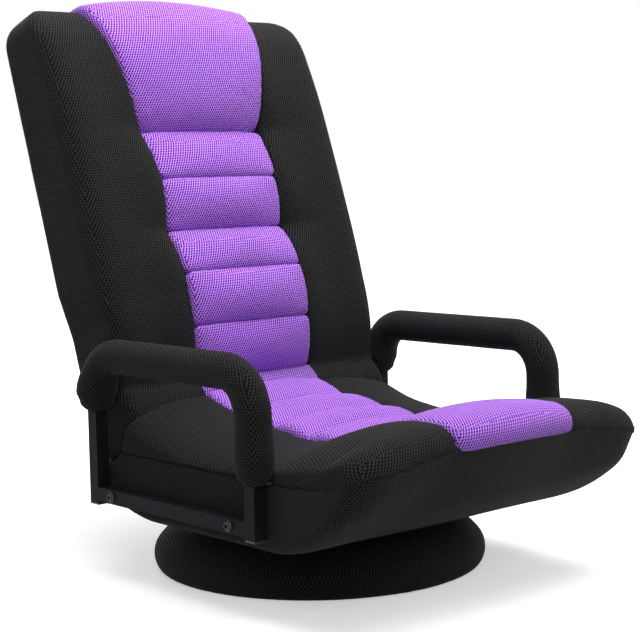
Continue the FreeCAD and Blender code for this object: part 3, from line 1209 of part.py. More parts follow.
def make_back_channels(base):
    """Sewn channels of the column; the uppermost flares to the head pillow."""
    seams = [(S.bolster_start, S.bolster_start, 0)]
    seams += [(along * S.head_start, share * S.bolster_depth, 0) for along, share in BACK_SEAMS]
    seams.append((S.head_start, COLUMN_SEAM_DEPTH * S.bolster_depth, S.head_foot / 2 - COLUMN_HALF))
    rolls = []
    for (z0, out0, flare0), (z1, out1, flare1) in zip(seams, seams[1:]):
        wires = []
        for x, bulge in column_stations(S.back_bulge):
            wide = x / COLUMN_HALF
            low = Vector(x + wide * flare0, -out0, z0 + S.clearance)
            high = Vector(x + wide * flare1, -out1, z1)
            middle = bow(low, high, bulge)
            middle.x = between(low.x, high.x, (middle.z - low.z) / (high.z - low.z))
            wires.append(closed_wire(Vector(low.x, base, low.z), (low,), (middle, high),
                                     (Vector(high.x, base, high.z),)))
        rolls.append(loft(wires))
    add_shape("lower_channel_pads", Part.makeCompound(rolls[:LOWER_ROLLS]), RECLINED)
    add_shape("upper_channel_pads", Part.makeCompound(rolls[LOWER_ROLLS:]), RECLINED)


def make_head_pillow(base):
    """Pillow that flares upwards, and its roll over the top of the back."""
    low, high = S.head_start + S.clearance, S.back_length + S.clearance
    wires = []
    for share, edge, crown in PILLOW_STATIONS:
        z = between(low, high, share)
        half = between(S.head_foot, S.head_width, share) / 2 - S.clearance
        wires.append(closed_wire(
            Vector(-half, base, z),
            (Vector(-half, -edge * S.head_depth, z),),
            (Vector(0, -crown * S.head_depth, z), Vector(half, -edge * S.head_depth, z)),
            (Vector(half, base, z),),
        ))
    pillow = loft(wires)
    rear = S.knuckle_radius - S.back_wall
    wires = []
    for share, edge, height in PILLOW_ROLL:
        x = share * (S.head_width / 2 - S.clearance)
        rise = height * S.head_rise
        front = -edge * S.head_depth
        wires.append(closed_wire(Vector(x, front, high), (Vector(x, (front + rear) / 2, high + rise),
                                                          Vector(x, rear, high))))
    add_shape("head_pillow", pillow.fuse(loft(wires)), RECLINED)


def write_parts():
    """Check every object, then write one file for each piece."""
    doc.recompute()
    for obj in doc.Objects:
        if "Invalid" in obj.State or "Error" in obj.State:
            raise RuntimeError(f"{obj.Name} failed: {obj.State}")
    for piece in NODES:
        if piece.Shape.isNull() or not piece.Shape.isValid():
            raise RuntimeError(f"{piece.Label} has no sound shape")
    os.makedirs("parts", exist_ok=True)
    for piece in NODES:
        piece.Shape.exportStep(f"parts/{piece.Label}.step")


make_base()
make_swivel()
make_seat_frame()
for name, side in SIDES:
    make_arm(name, side)
    make_hinge(name, side)
make_rivets()
make_seat_top()
make_seat_underbody()
make_back_frame()
make_back_panel()
CUSHION_BASE = S.back_seam - S.clearance
make_back_bolsters(CUSHION_BASE)
make_back_channels(CUSHION_BASE)
make_head_pillow(CUSHION_BASE)
write_parts()
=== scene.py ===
import json
import math

import bpy
from bpy.props import FloatProperty, FloatVectorProperty, IntProperty, PointerProperty
from bpy.types import Operator, Panel, PropertyGroup
from mathutils import Matrix, Vector

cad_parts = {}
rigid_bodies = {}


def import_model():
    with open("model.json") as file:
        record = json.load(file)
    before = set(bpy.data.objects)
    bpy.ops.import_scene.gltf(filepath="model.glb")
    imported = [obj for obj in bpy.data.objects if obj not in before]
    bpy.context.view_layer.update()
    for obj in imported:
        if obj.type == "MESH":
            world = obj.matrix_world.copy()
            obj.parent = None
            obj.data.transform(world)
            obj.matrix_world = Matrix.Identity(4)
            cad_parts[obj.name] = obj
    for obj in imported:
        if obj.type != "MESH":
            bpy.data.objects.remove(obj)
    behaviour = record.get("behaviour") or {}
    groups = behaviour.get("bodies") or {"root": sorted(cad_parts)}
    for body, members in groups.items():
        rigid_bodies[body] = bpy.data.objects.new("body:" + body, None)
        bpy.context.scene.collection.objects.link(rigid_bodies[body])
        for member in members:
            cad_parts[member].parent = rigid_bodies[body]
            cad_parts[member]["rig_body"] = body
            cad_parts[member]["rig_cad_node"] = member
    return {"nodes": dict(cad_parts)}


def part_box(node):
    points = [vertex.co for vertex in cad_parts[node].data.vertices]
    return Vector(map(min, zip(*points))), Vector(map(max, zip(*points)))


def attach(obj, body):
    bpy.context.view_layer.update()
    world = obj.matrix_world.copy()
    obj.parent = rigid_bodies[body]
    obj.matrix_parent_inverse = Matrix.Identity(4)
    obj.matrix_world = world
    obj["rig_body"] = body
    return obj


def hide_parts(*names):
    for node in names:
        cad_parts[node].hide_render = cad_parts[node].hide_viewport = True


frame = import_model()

bl_info = {
    "name": "Floor Gaming Chair",
    "version": (1, 0, 0),
    "blender": (4, 5, 0),
    "location": "View3D > Sidebar > Chair",
    "description": "Upholstery, finishes and studio for a swivelling floor chair with a reclining back",
    "category": "Object",
}

# Where the back turns, and how far it leans at rest
HINGE = Vector((0.0, 0.153, 0.195))
LEAN = math.radians(18.37)
BACK_FACE = Vector((0.0, -math.cos(LEAN), math.sin(LEAN)))
SEAT_FACE = Vector((0.0, 0.0, 1.0))

# The camera's place, its direction in degrees, and its lens in millimetres
CAMERA_PLACE = Vector((-1.4010, -1.6090, 0.5221))
CAMERA_AZIMUTH = -41.226
CAMERA_ELEVATION = 5.266
CAMERA_ROLL = -1.21
CAMERA_LENS = 91.83
SENSOR_WIDTH = 36.0

# Cloth work: where corners are one, how far one round of easing goes, how carefully the cloth is simulated,
# and how squarely a point faces outwards to be left free by the sewing
WELD = 0.00002
EASING = 0.5
CLOTH_QUALITY = 4
FREE_FACING = 0.5

# Rounds of easing, the cells of the finest and the coarsest net, and how tightly the pieces are filled
SHELL_ROUNDS = 3
ROLL_ROUNDS = 2
COVER_ROUNDS = 4
SLEEVE_ROUNDS = 4
FOAM_ROUNDS = 2
SLEEVE_CELL = 0.003
FOAM_CELL = 0.006
CUSHION_FILL = 0.6
SLEEVE_FILL = 0.5
FOAM_FILL = 0.9

# Front corners of the seat: from where to where the swelling grows across, along and below the seam
CORNER_ACROSS = (0.12, 0.23)
CORNER_ALONG = (0.15, 0.30)
BELLY_START = 0.02
BELLY_DEPTH = 0.05

# Front seam of the seat: where its rise ends and its fall starts across, where both start along,
# and how far they reach below and above the seam
RISE_ENDS = (0.10, 0.17)
FALL_STARTS = (0.16, 0.215)
BOW_ALONG = (0.22, 0.31)
BOW_BELOW = 0.05
BOW_ABOVE = 0.045

# Seat cushions: how far their tops sink, over what height and length, and their share of the swell limit
BOLSTER_SINKS = 0.007
SINK_HEIGHT = 0.03
SINK_LENGTH = 0.15
SEAT_SWELL = 0.2

# Rolls of the seat: node, piece, and how far its top sinks; the width of a flank and its rounds of easing
SEAT_ROLLS = (("seat_channel_pads", "seat_channels", 0.003), ("seat_front_roll", "seat_front", 0.005))
SEAT_FLANK = 0.014
SEAT_FLANK_ROUNDS = 8

# Rolls of the back: node, piece, and rounds of easing on its flanks; the width of a flank
BACK_ROLLS = (
    ("lower_channel_pads", "back_lower_channels", 12),
    ("upper_channel_pads", "back_upper_channels", 12),
    ("head_pillow", "head_cushion", 30),
)
BACK_FLANK = 0.022

# Bands of cloth round the recline axis: inner and outer radius, and first and last angle in degrees;
# the slot is from where to where a hinge lies across
BAND_SIDES = 180
HINGE_BANDS = ((0.0450, 0.0575, -10.0, 46.0), (0.0420, 0.0508, 40.0, 125.0))
HINGE_SLOT = (0.1915, 0.2155)
CREASE_BAND = (0.0504, 0.0515, 42.0, 150.0)

# Ends of the arm sleeves: heights over the end and pushes there, the stretch that gives the middle of an end,
# and how far from that middle a push sets in
REAR_END = ((0.0, -0.006), (0.012, 0.0), (0.026, 0.0045), (0.07, 0.0))
FRONT_END = ((0.0, -0.005), (0.012, -0.001), (0.03, 0.002), (0.07, 0.0))
END_STRETCH = 0.03
SLEEVE_SKIN = (0.0125, 0.017)

# Seams: how far the face below looks down, how little the face above does, and how far that looks outwards
SEAM_UNDER = -0.7
SEAM_OVER = -0.3
SEAM_OUTWARDS = 0.3

# Air mesh: direction in degrees and share of each wave, where yarn turns into hole, strength and depth of
# the relief, mottling, and gloss and sheen of each cloth
UNIT = (0.0, 1.0)
MESH_WAVES = ((32.0, 0.75), (92.0, 0.75), (152.0, 1.4))
MESH_EDGE = (-1.1, 1.0)
MESH_RELIEF = (0.8, 0.0012)
MESH_ROUGHNESS = (0.72, 1.0)
MOTTLE_SCALE = 9.0
MOTTLE_DETAIL = 3.0
MOTTLE_SPAN = (0.3, 0.7)
MOTTLE_SHADES = (0.93, 1.05)
SHEEN_ROUGHNESS = 0.5
PURPLE_LOOK = (0.15, 0.12)
BLACK_LOOK = (0.07, 0.03)

# Plain finishes: colour, roughness, metallic, scale and depth of the grain, and gloss
GRAIN_DETAIL = 2.0
GRAIN_STRENGTH = 0.5
GLOSS_SPREAD = 0.06
THREAD_LOOK = ((0.006, 0.006, 0.007, 1.0), 0.8, 0.0, 1500.0, 0.0002, 0.1)
POWDER_COAT_LOOK = (0.5, 0.0, 900.0, 0.0002, 0.05)
HARD_LOOKS = {
    "black_bolts": ("Black oxide", (0.02, 0.02, 0.021, 1.0), 0.35, 0.7, 600.0, 0.0001, 0.5),
    "zinc_steel": ("Zinc", (0.55, 0.56, 0.58, 1.0), 0.34, 1.0, 260.0, 0.0001, 0.5),
    "plug_plastic": ("Plug plastic", (0.015, 0.015, 0.016, 1.0), 0.5, 0.0, 700.0, 0.0001, 0.5),
    "cage_plastic": ("Cage plastic", (0.6, 0.58, 0.52, 1.0), 0.45, 0.0, 300.0, 0.0001, 0.5),
    "plywood": ("Plywood", (0.42, 0.28, 0.15, 1.0), 0.7, 0.0, 60.0, 0.0003, 0.5),
    "anti_slip": ("Anti-slip", (0.02, 0.02, 0.021, 1.0), 0.9, 0.0, 800.0, 0.0006, 0.5),
    "webbing": ("Webbing", (0.05, 0.05, 0.052, 1.0), 0.9, 0.0, 900.0, 0.0006, 0.5),
    "foam": ("Foam", (0.75, 0.70, 0.55, 1.0), 0.95, 0.0, 500.0, 0.0010, 0.5),
}

# Studio: name, place, size and power of each light, and the floor and the sky
LIGHTS = (
    ("top_light", (0.1, -0.2, 1.95), 1.8, 56.0),
    ("key_light", (-1.8, -2.4, 2.0), 1.6, 24.0),
    ("side_light", (2.4, -1.4, 1.4), 1.4, 7.0),
    ("rear_light", (0.9, 2.8, 1.7), 1.6, 16.0),
)
LIGHT_AIM = Vector((0.0, 0.0, 0.3))
FLOOR_SIZE = 40.0
FLOOR_PLACE = (0.0, 0.0, -0.0005)
FLOOR_ROUGHNESS = 0.9
FLOOR_GLOSS = 0.1
FLOOR_FADE = (0.5, 1.4)
FLOOR_GLOW = (0.46, 1.0)
FLOOR_UNSEEN = (0.35, 0.35, 0.35, 1.0)
FLOOR_SEEN = (0.85, 0.85, 0.85, 1.0)
SKY_LEVELS = (0.27, 1.0)
WHITE = (1.0, 1.0, 1.0, 1.0)


class ChairSizes(PropertyGroup):
    """Sizes of the soft work."""

    cell: FloatProperty(name="Cloth cell", description="Edge of one cloth cell", default=0.004, unit="LENGTH")
    swell: FloatProperty(name="Swell", description="Air pressure that plumps a cushion", default=4.0)
    swell_limit: FloatProperty(
        name="Swell limit", description="Farthest that plumping moves the cloth", default=0.005, unit="LENGTH"
    )
    settle_frames: IntProperty(
        name="Settling frames", description="Frames the cloth takes to settle", default=20
    )
    unevenness: FloatProperty(
        name="Unevenness", description="Depth of the soft waves in the cloth", default=0.0006, unit="LENGTH"
    )
    wave_length: FloatProperty(
        name="Wave length", description="Length of the soft waves in the cloth", default=0.07, unit="LENGTH"
    )
    hole_pitch: FloatProperty(
        name="Hole pitch", description="Distance between holes of the air mesh", default=0.0038, unit="LENGTH"
    )
    fullness: FloatProperty(
        name="Fullness", description="How far the cloth stands off its foam", default=0.0012, unit="LENGTH"
    )
    seam_radius: FloatProperty(
        name="Seam radius", description="Radius of the thread that lies in the seams", default=0.0011,
        unit="LENGTH",
    )
    corner: FloatProperty(
        name="Corner", description="How far the front corners of the seat swell outwards", default=0.010,
        unit="LENGTH",
    )
    belly: FloatProperty(
        name="Belly", description="How much farther they swell below the seam", default=0.006, unit="LENGTH"
    )
    seam_rise: FloatProperty(
        name="Seam rise", description="How far the front seam bows up below the front roll", default=0.007,
        unit="LENGTH",
    )
    seam_fall: FloatProperty(
        name="Seam fall", description="How far the front seam hangs at the corners", default=0.005,
        unit="LENGTH",
    )


class ChairColours(PropertyGroup):
    """Colours of the cloth and the metal; the hole colours are painted shade deep in the holes of the mesh.
    """

    purple: FloatVectorProperty(
        name="Purple mesh", description="Cloth of the middle column", subtype="COLOR", size=4,
        default=(0.56, 0.215, 0.95, 1.0),
    )
    # Painted shade: the purple darkened as shade deep in the holes of the mesh
    purple_hole_shade: FloatVectorProperty(
        name="Purple holes", description="Depth of the purple mesh", subtype="COLOR", size=4,
        default=(0.030, 0.004, 0.15, 1.0),
    )
    black: FloatVectorProperty(
        name="Black mesh", description="Cloth of the sides and the base", subtype="COLOR", size=4,
        default=(0.020, 0.020, 0.020, 1.0),
    )
    # Painted shade: the black darkened as shade deep in the holes of the mesh
    black_hole_shade: FloatVectorProperty(
        name="Black holes", description="Depth of the black mesh", subtype="COLOR", size=4,
        default=(0.0010, 0.0010, 0.0010, 1.0),
    )
    steel: FloatVectorProperty(
        name="Powder coat", description="Coat of the arm tubes", subtype="COLOR", size=4,
        default=(0.008, 0.008, 0.011, 1.0),
    )


def sizes():
    """The sizes that the sidebar shows."""
    return bpy.context.scene.chair_sizes


def colours():
    """The colours that the sidebar shows."""
    return bpy.context.scene.chair_colours


# Handling of objects
def alone(piece):
    """Selects one object and makes it active."""
    bpy.ops.object.select_all(action="DESELECT")
    piece.select_set(True)
    bpy.context.view_layer.objects.active = piece


def apply(piece, modifier):
    """Makes a modifier's result the mesh itself."""
    alone(piece)
    bpy.ops.object.modifier_apply(modifier=modifier.name)


def cover_of(node, name):
    """A free copy of a CAD cushion, welded, to be made into cloth."""
    alone(frame["nodes"][node])
    bpy.ops.object.duplicate()
    piece = bpy.context.view_layer.objects.active
    piece.name = name
    piece.data.name = name
    piece.parent = None
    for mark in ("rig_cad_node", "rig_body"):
        del piece[mark]
    piece.data.materials.clear()
    bpy.ops.object.mode_set(mode="EDIT")
    bpy.ops.mesh.select_all(action="SELECT")
    bpy.ops.mesh.remove_doubles(threshold=WELD)
    bpy.ops.mesh.normals_make_consistent(inside=False)
    bpy.ops.object.mode_set(mode="OBJECT")
    return piece


def split(piece):
    """The separate rolls of a group of rolls."""
    alone(piece)
    bpy.ops.object.mode_set(mode="EDIT")
    bpy.ops.mesh.select_all(action="SELECT")
    bpy.ops.mesh.separate(type="LOOSE")
    bpy.ops.object.mode_set(mode="OBJECT")
    return list(bpy.context.selected_objects)


def join(rolls, name):
    """One piece of several rolls."""
    alone(rolls[0])
    for roll in rolls:
        roll.select_set(True)
    bpy.ops.object.join()
    rolls[0].name = name
    rolls[0].data.name = name
    return rolls[0]


# Soft work
def weave(piece, cell, rounds):
    """Turns a solid into an even net of cloth cells with rounded edges."""
    net = piece.modifiers.new("Net", "REMESH")
    net.mode = "VOXEL"
    net.voxel_size = cell
    apply(piece, net)
    ease = piece.modifiers.new("Ease", "SMOOTH")
    ease.factor = EASING
    ease.iterations = rounds
    apply(piece, ease)


def round_flanks(piece, along, reach, rounds):
    """Rounds the two long sides of a cushion, where its cloth is drawn down into the seams."""
    mesh = piece.data
    widest = {}
    for point in mesh.vertices:
        row = round(point.co[along] / reach)
        widest[row] = max(widest.get(row, 0.0), abs(point.co.x))
    flanks = piece.vertex_groups.new(name="flanks")
    near = [p.index for p in mesh.vertices if abs(p.co.x) > widest[round(p.co[along] / reach)] - reach]
    flanks.add(near, 1.0, "REPLACE")
    ease = piece.modifiers.new("Flanks", "SMOOTH")
    ease.vertex_group = flanks.name
    ease.factor = EASING
    ease.iterations = rounds
    apply(piece, ease)
    piece.vertex_groups.clear()


def plump(piece, sewn, limit):
    """Swells a cushion with simulated cloth. Points that sewn picks stay where they are."""
    scene = bpy.context.scene
    mesh = piece.data
    start = [point.co.copy() for point in mesh.vertices]
    held = piece.vertex_groups.new(name="sewn")
    held.add([point.index for point in mesh.vertices if sewn(point)], 1.0, "REPLACE")
    cloth = piece.modifiers.new("Cloth", "CLOTH")
    cloth.settings.vertex_group_mass = held.name
    cloth.settings.quality = CLOTH_QUALITY
    cloth.settings.use_pressure = True
    cloth.settings.uniform_pressure_force = sizes().swell
    cloth.settings.effector_weights.gravity = 0.0
    cloth.point_cache.frame_start = 1
    cloth.point_cache.frame_end = sizes().settle_frames
    for number in range(1, sizes().settle_frames + 1):
        scene.frame_set(number)
    apply(piece, cloth)
    scene.frame_set(1)
    for point, before in zip(mesh.vertices, start):
        step = point.co - before
        if step.length > limit:
            point.co = before + step.normalized() * limit
    piece.vertex_groups.clear()


def sewn_off(face):
    """Picks the points that are sewn down: all that don't look the way the cushion faces."""
    return lambda point: point.normal.dot(face) < FREE_FACING


def round_end(name, low, high, inner, outer, start, stop):
    """A band of cloth round the recline axis, between two places across and two angles in degrees."""
    bpy.ops.mesh.primitive_cylinder_add(
        vertices=BAND_SIDES, radius=inner, depth=high - low, end_fill_type="NOTHING",
        location=HINGE + Vector(((low + high) / 2.0, 0.0, 0.0)), rotation=(0.0, math.radians(90.0), 0.0),
    )
    piece = bpy.context.view_layer.objects.active
    piece.name = name
    piece.data.name = name
    bpy.ops.object.transform_apply(location=True, rotation=True, scale=True)
    bpy.ops.object.mode_set(mode="EDIT")
    bpy.ops.mesh.select_mode(type="VERT")
    bpy.ops.mesh.select_all(action="DESELECT")
    bpy.ops.object.mode_set(mode="OBJECT")
    for point in piece.data.vertices:
        arm = point.co - HINGE
        turn = math.degrees(math.atan2(-arm.y, arm.z) + LEAN)
        point.select = not start < turn < stop
    bpy.ops.object.mode_set(mode="EDIT")
    bpy.ops.mesh.delete(type="VERT")
    bpy.ops.object.mode_set(mode="OBJECT")
    skin = piece.modifiers.new("Skin", "SOLIDIFY")
    skin.thickness = outer - inner
    skin.offset = 1.0
    apply(piece, skin)
    return piece


def ramp(value, low, high):
    """Rises softly from 0 at low to 1 at high."""
    share = min(max((value - low) / (high - low), 0.0), 1.0)
    return share * share * (3.0 - 2.0 * share)


def bulge_corners(piece, reach, belly):
    """Lets the front corners of the seat swell outwards, below the seam by belly more."""
    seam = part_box("seat_bolster_left")[0].z
    for point in piece.data.vertices:
        across, along, height = point.co
        corner = ramp(abs(across), *CORNER_ACROSS) * ramp(-along, *CORNER_ALONG)
        under = ramp(seam + BELLY_START - height, 0.0, BELLY_DEPTH)
        push = corner * (reach + belly * under) * math.sqrt(0.5)
        point.co.x += math.copysign(push, across)
        point.co.y -= push


def bow_seam(piece):
    """Bows the front seam of the seat, up below the front roll and down at the corners."""
    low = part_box("seat_bolster_left")[0].z
    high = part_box("seat_underbody")[1].z
    rise, fall = sizes().seam_rise, sizes().seam_fall
    for point in piece.data.vertices:
        across, along, height = point.co
        bow = rise * (1.0 - ramp(abs(across), *RISE_ENDS)) - fall * ramp(abs(across), *FALL_STARTS)
        level = ramp(height, low - BOW_BELOW, low) * (1.0 - ramp(height, high, high + BOW_ABOVE))
        point.co.z += bow * level * ramp(-along, *BOW_ALONG)


def settle_top(piece, depth):
    """Lets the top of a seat cushion sink towards its front, as soft foam does."""
    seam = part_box("seat_bolster_left")[0].z
    for point in piece.data.vertices:
        share = ramp(point.co.z - seam, 0.0, SINK_HEIGHT) * ramp(-point.co.y, 0.0, SINK_LENGTH)
        point.co.z -= depth * share


def gather_end(piece, rear, steps):
    """Swells and draws in one end of an arm sleeve, by heights over the end and pushes there."""
    points = piece.data.vertices
    middle = sum(point.co.y for point in points) / len(points)
    leg = [point for point in points if (point.co.y > middle) == rear]
    foot = min(point.co.z for point in leg)
    low = [point for point in leg if point.co.z < foot + END_STRETCH]
    axis = sum((point.co for point in low), Vector()) / len(low)
    for point in leg:
        height = point.co.z - foot
        if height > steps[-1][0]:
            continue
        for (low_height, low_push), (high_height, high_push) in zip(steps, steps[1:]):
            if low_height <= height <= high_height:
                push = low_push + (high_push - low_push) * ramp(height, low_height, high_height)
        arm = Vector((point.co.x - axis.x, point.co.y - axis.y, 0.0))
        point.co += arm.normalized() * push * ramp(arm.length, *SLEEVE_SKIN)


def fill_out(piece, thickness):
    """Lets the cloth stand off its foam all round."""
    swell = piece.modifiers.new("Fullness", "DISPLACE")
    swell.strength = thickness
    swell.mid_level = 0.0
    apply(piece, swell)


def ruffle(piece, depth):
    """Lays soft waves into the cloth."""
    waves = bpy.data.textures.new(piece.name + "_waves", "CLOUDS")
    waves.noise_scale = sizes().wave_length
    waves.noise_depth = 1
    push = piece.modifiers.new("Waves", "DISPLACE")
    push.texture = waves
    push.texture_coords = "LOCAL"
    push.strength = depth
    push.mid_level = 0.5
    apply(piece, push)


def dress(piece, cloth):
    """Gives a cushion its cloth, laid on in true size, and a smooth finish."""
    alone(piece)
    piece.data.materials.clear()
    piece.data.materials.append(cloth)
    bpy.ops.object.mode_set(mode="EDIT")
    bpy.ops.mesh.select_all(action="SELECT")
    bpy.ops.mesh.normals_make_consistent(inside=False)
    bpy.ops.uv.cube_project(cube_size=1.0, correct_aspect=False, scale_to_bounds=False)
    bpy.ops.object.mode_set(mode="OBJECT")
    bpy.ops.object.shade_smooth()


def hand_over(piece, body, slot, fill, *nodes):
    """Places a cushion on its body, in the stead of its CAD nodes."""
    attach(piece, body)
    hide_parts(*nodes)


def sewn_edge(under, over):
    """True where a face that looks down meets one that looks outwards or ahead."""
    outwards = abs(over.x) > SEAM_OUTWARDS or over.y < -SEAM_OUTWARDS
    return under.z < SEAM_UNDER and over.z > SEAM_OVER and outwards


def seam_thread(node, name, body, front):
    """A thread along the sewn edges of a CAD cushion, as far as they lie ahead of front."""
    piece = cover_of(node, name)
    mesh = piece.data
    faces = {}
    for face in mesh.polygons:
        for key in face.edge_keys:
            faces.setdefault(key, []).append(face.normal)
    for point in mesh.vertices:
        point.select = False
    for face in mesh.polygons:
        face.select = False
    for edge in mesh.edges:
        sides = faces.get(edge.key, [])
        sewn = len(sides) == 2 and (sewn_edge(sides[0], sides[1]) or sewn_edge(sides[1], sides[0]))
        edge.select = sewn and max(mesh.vertices[index].co.y for index in edge.vertices) < front
    alone(piece)
    bpy.ops.object.mode_set(mode="EDIT")
    bpy.ops.mesh.select_mode(type="EDGE")
    bpy.ops.mesh.select_all(action="INVERT")
    bpy.ops.mesh.delete(type="EDGE")
    bpy.ops.mesh.select_mode(type="VERT")
    bpy.ops.object.mode_set(mode="OBJECT")
    bulge_corners(piece, sizes().corner, 0.0)
    bow_seam(piece)
    bpy.ops.object.convert(target="CURVE")
    thread = bpy.context.view_layer.objects.active
    thread.data.bevel_depth = sizes().seam_radius
    thread.data.bevel_resolution = 2
    thread.data.use_fill_caps = True
    bpy.ops.object.convert(target="MESH")
    thread.data.materials.clear()
    thread.data.materials.append(material_of("Thread"))
    bpy.ops.object.shade_smooth()
    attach(thread, body)


# Finishes
def new_group(name, inputs, outputs):
    """An empty node group with its sockets, and its two ends."""
    group = bpy.data.node_groups.new(name, "ShaderNodeTree")
    for label, kind, value in inputs:
        socket = group.interface.new_socket(label, in_out="INPUT", socket_type=kind)
        if value is not None:
            socket.default_value = value
    for label, kind in outputs:
        group.interface.new_socket(label, in_out="OUTPUT", socket_type=kind)
    entry = group.nodes.new("NodeGroupInput")
    leave = group.nodes.new("NodeGroupOutput")
    return group, entry, leave


def maths(group, operation, first, second=None):
    """A maths node fed by sockets or plain numbers; gives its result."""
    node = group.nodes.new("ShaderNodeMath")
    node.operation = operation
    for slot, value in enumerate((first, second)):
        if value is None:
            continue
        if isinstance(value, (int, float)):
            node.inputs[slot].default_value = value
        else:
            group.links.new(value, node.inputs[slot])
    return node.outputs["Value"]


def spread(tree, value, given, wanted, smooth=False):
    """Carries a value from one range to another; gives the result."""
    node = tree.nodes.new("ShaderNodeMapRange")
    if smooth:
        node.interpolation_type = "SMOOTHSTEP"
    for label, number in zip(("From Min", "From Max", "To Min", "To Max"), given + wanted):
        node.inputs[label].default_value = number
    tree.links.new(value, node.inputs["Value"])
    return node.outputs["Result"]


def two_tone(tree, share, first, second):
    """Goes from one colour to another; gives the result."""
    node = tree.nodes.new("ShaderNodeMix")
    node.data_type = "RGBA"
    node.inputs["A"].default_value = first
    node.inputs["B"].default_value = second
    tree.links.new(share, node.inputs["Factor"])
    return node.outputs["Result"]


def emboss(tree, shade, height, strength, depth):
    """Lays a relief into a finish."""
    relief = tree.nodes.new("ShaderNodeBump")
    relief.inputs["Strength"].default_value = strength
    relief.inputs["Distance"].default_value = depth
    tree.links.new(height, relief.inputs["Height"])
    tree.links.new(relief.outputs["Normal"], shade.inputs["Normal"])


def air_mesh_group():
    """Holes of a knitted air mesh in staggered rows: a mask of the holes and a height."""
    inputs = (
        ("Vector", "NodeSocketVector", None),
        ("Pitch", "NodeSocketFloat", sizes().hole_pitch),
    )
    outputs = (
        ("Hole", "NodeSocketFloat"),
        ("Height", "NodeSocketFloat"),
    )
    group, entry, leave = new_group("Air mesh", inputs, outputs)
    parts = group.nodes.new("ShaderNodeSeparateXYZ")
    group.links.new(entry.outputs["Vector"], parts.inputs["Vector"])
    turn = maths(group, "DIVIDE", 4.0 * math.pi / math.sqrt(3.0), entry.outputs["Pitch"])
    total = None
    for turned, share in MESH_WAVES:
        angle = math.radians(turned)
        across = maths(group, "MULTIPLY", parts.outputs["X"], math.cos(angle))
        along = maths(group, "MULTIPLY", parts.outputs["Y"], math.sin(angle))
        wave = maths(group, "COSINE", maths(group, "MULTIPLY", maths(group, "ADD", across, along), turn))
        wave = maths(group, "MULTIPLY", wave, share)
        total = wave if total is None else maths(group, "ADD", total, wave)
    hole = spread(group, total, MESH_EDGE, UNIT, smooth=True)
    group.links.new(hole, leave.inputs["Hole"])
    group.links.new(maths(group, "SUBTRACT", 1.0, hole), leave.inputs["Height"])
    return group


def seen(tree):
    """1 for rays that see a surface straight, in metal or through glass, and 0 for the rest."""
    ray = tree.nodes.new("ShaderNodeLightPath")
    total = maths(tree, "ADD", ray.outputs["Is Camera Ray"], ray.outputs["Is Glossy Ray"])
    return maths(tree, "MINIMUM", maths(tree, "ADD", total, ray.outputs["Is Transmission Ray"]), 1.0)


def new_material(name):
    """A material with a bare shader."""
    material = bpy.data.materials.new(name)
    material.use_nodes = True
    tree = material.node_tree
    tree.nodes.clear()
    shade = tree.nodes.new("ShaderNodeBsdfPrincipled")
    surface = tree.nodes.new("ShaderNodeOutputMaterial")
    tree.links.new(shade.outputs["BSDF"], surface.inputs["Surface"])
    return material, tree, shade


def mesh_cloth(name, group, colour, hole_shade_colour, gloss, sheen):
    """Knitted spacer mesh: coloured yarn round holes, whose dark colour is painted shade deep in the mesh."""
    _, tree, shade = new_material(name)
    place = tree.nodes.new("ShaderNodeTexCoord")
    holes = tree.nodes.new("ShaderNodeGroup")
    holes.node_tree = group
    holes.inputs["Pitch"].default_value = sizes().hole_pitch
    tree.links.new(place.outputs["UV"], holes.inputs["Vector"])
    mottle = tree.nodes.new("ShaderNodeTexNoise")
    mottle.inputs["Scale"].default_value = MOTTLE_SCALE
    mottle.inputs["Detail"].default_value = MOTTLE_DETAIL
    tree.links.new(place.outputs["Object"], mottle.inputs["Vector"])
    # The hole colour is painted shade: the cloth darkened where the holes go deep
    tint = two_tone(tree, holes.outputs["Hole"], colour, hole_shade_colour)
    wear = tree.nodes.new("ShaderNodeHueSaturation")
    tree.links.new(spread(tree, mottle.outputs["Fac"], MOTTLE_SPAN, MOTTLE_SHADES), wear.inputs["Value"])
    tree.links.new(tint, wear.inputs["Color"])
    tree.links.new(wear.outputs["Color"], shade.inputs["Base Color"])
    emboss(tree, shade, holes.outputs["Height"], *MESH_RELIEF)
    tree.links.new(spread(tree, holes.outputs["Hole"], UNIT, MESH_ROUGHNESS), shade.inputs["Roughness"])
    shade.inputs["Specular IOR Level"].default_value = gloss
    shade.inputs["Sheen Weight"].default_value = sheen
    shade.inputs["Sheen Roughness"].default_value = SHEEN_ROUGHNESS


def plain_finish(name, colour, roughness, metallic, grain, grain_depth, gloss):
    """A solid finish with a fine grain and an uneven gloss."""
    material, tree, shade = new_material(name)
    place = tree.nodes.new("ShaderNodeTexCoord")
    noise = tree.nodes.new("ShaderNodeTexNoise")
    noise.inputs["Scale"].default_value = grain
    noise.inputs["Detail"].default_value = GRAIN_DETAIL
    tree.links.new(place.outputs["Object"], noise.inputs["Vector"])
    uneven = (roughness - GLOSS_SPREAD, roughness + GLOSS_SPREAD)
    tree.links.new(spread(tree, noise.outputs["Fac"], UNIT, uneven), shade.inputs["Roughness"])
    emboss(tree, shade, noise.outputs["Fac"], GRAIN_STRENGTH, grain_depth)
    shade.inputs["Base Color"].default_value = colour
    shade.inputs["Metallic"].default_value = metallic
    shade.inputs["Specular IOR Level"].default_value = gloss
    return material


def material_of(name):
    """A finish by its name."""
    return bpy.data.materials[name]


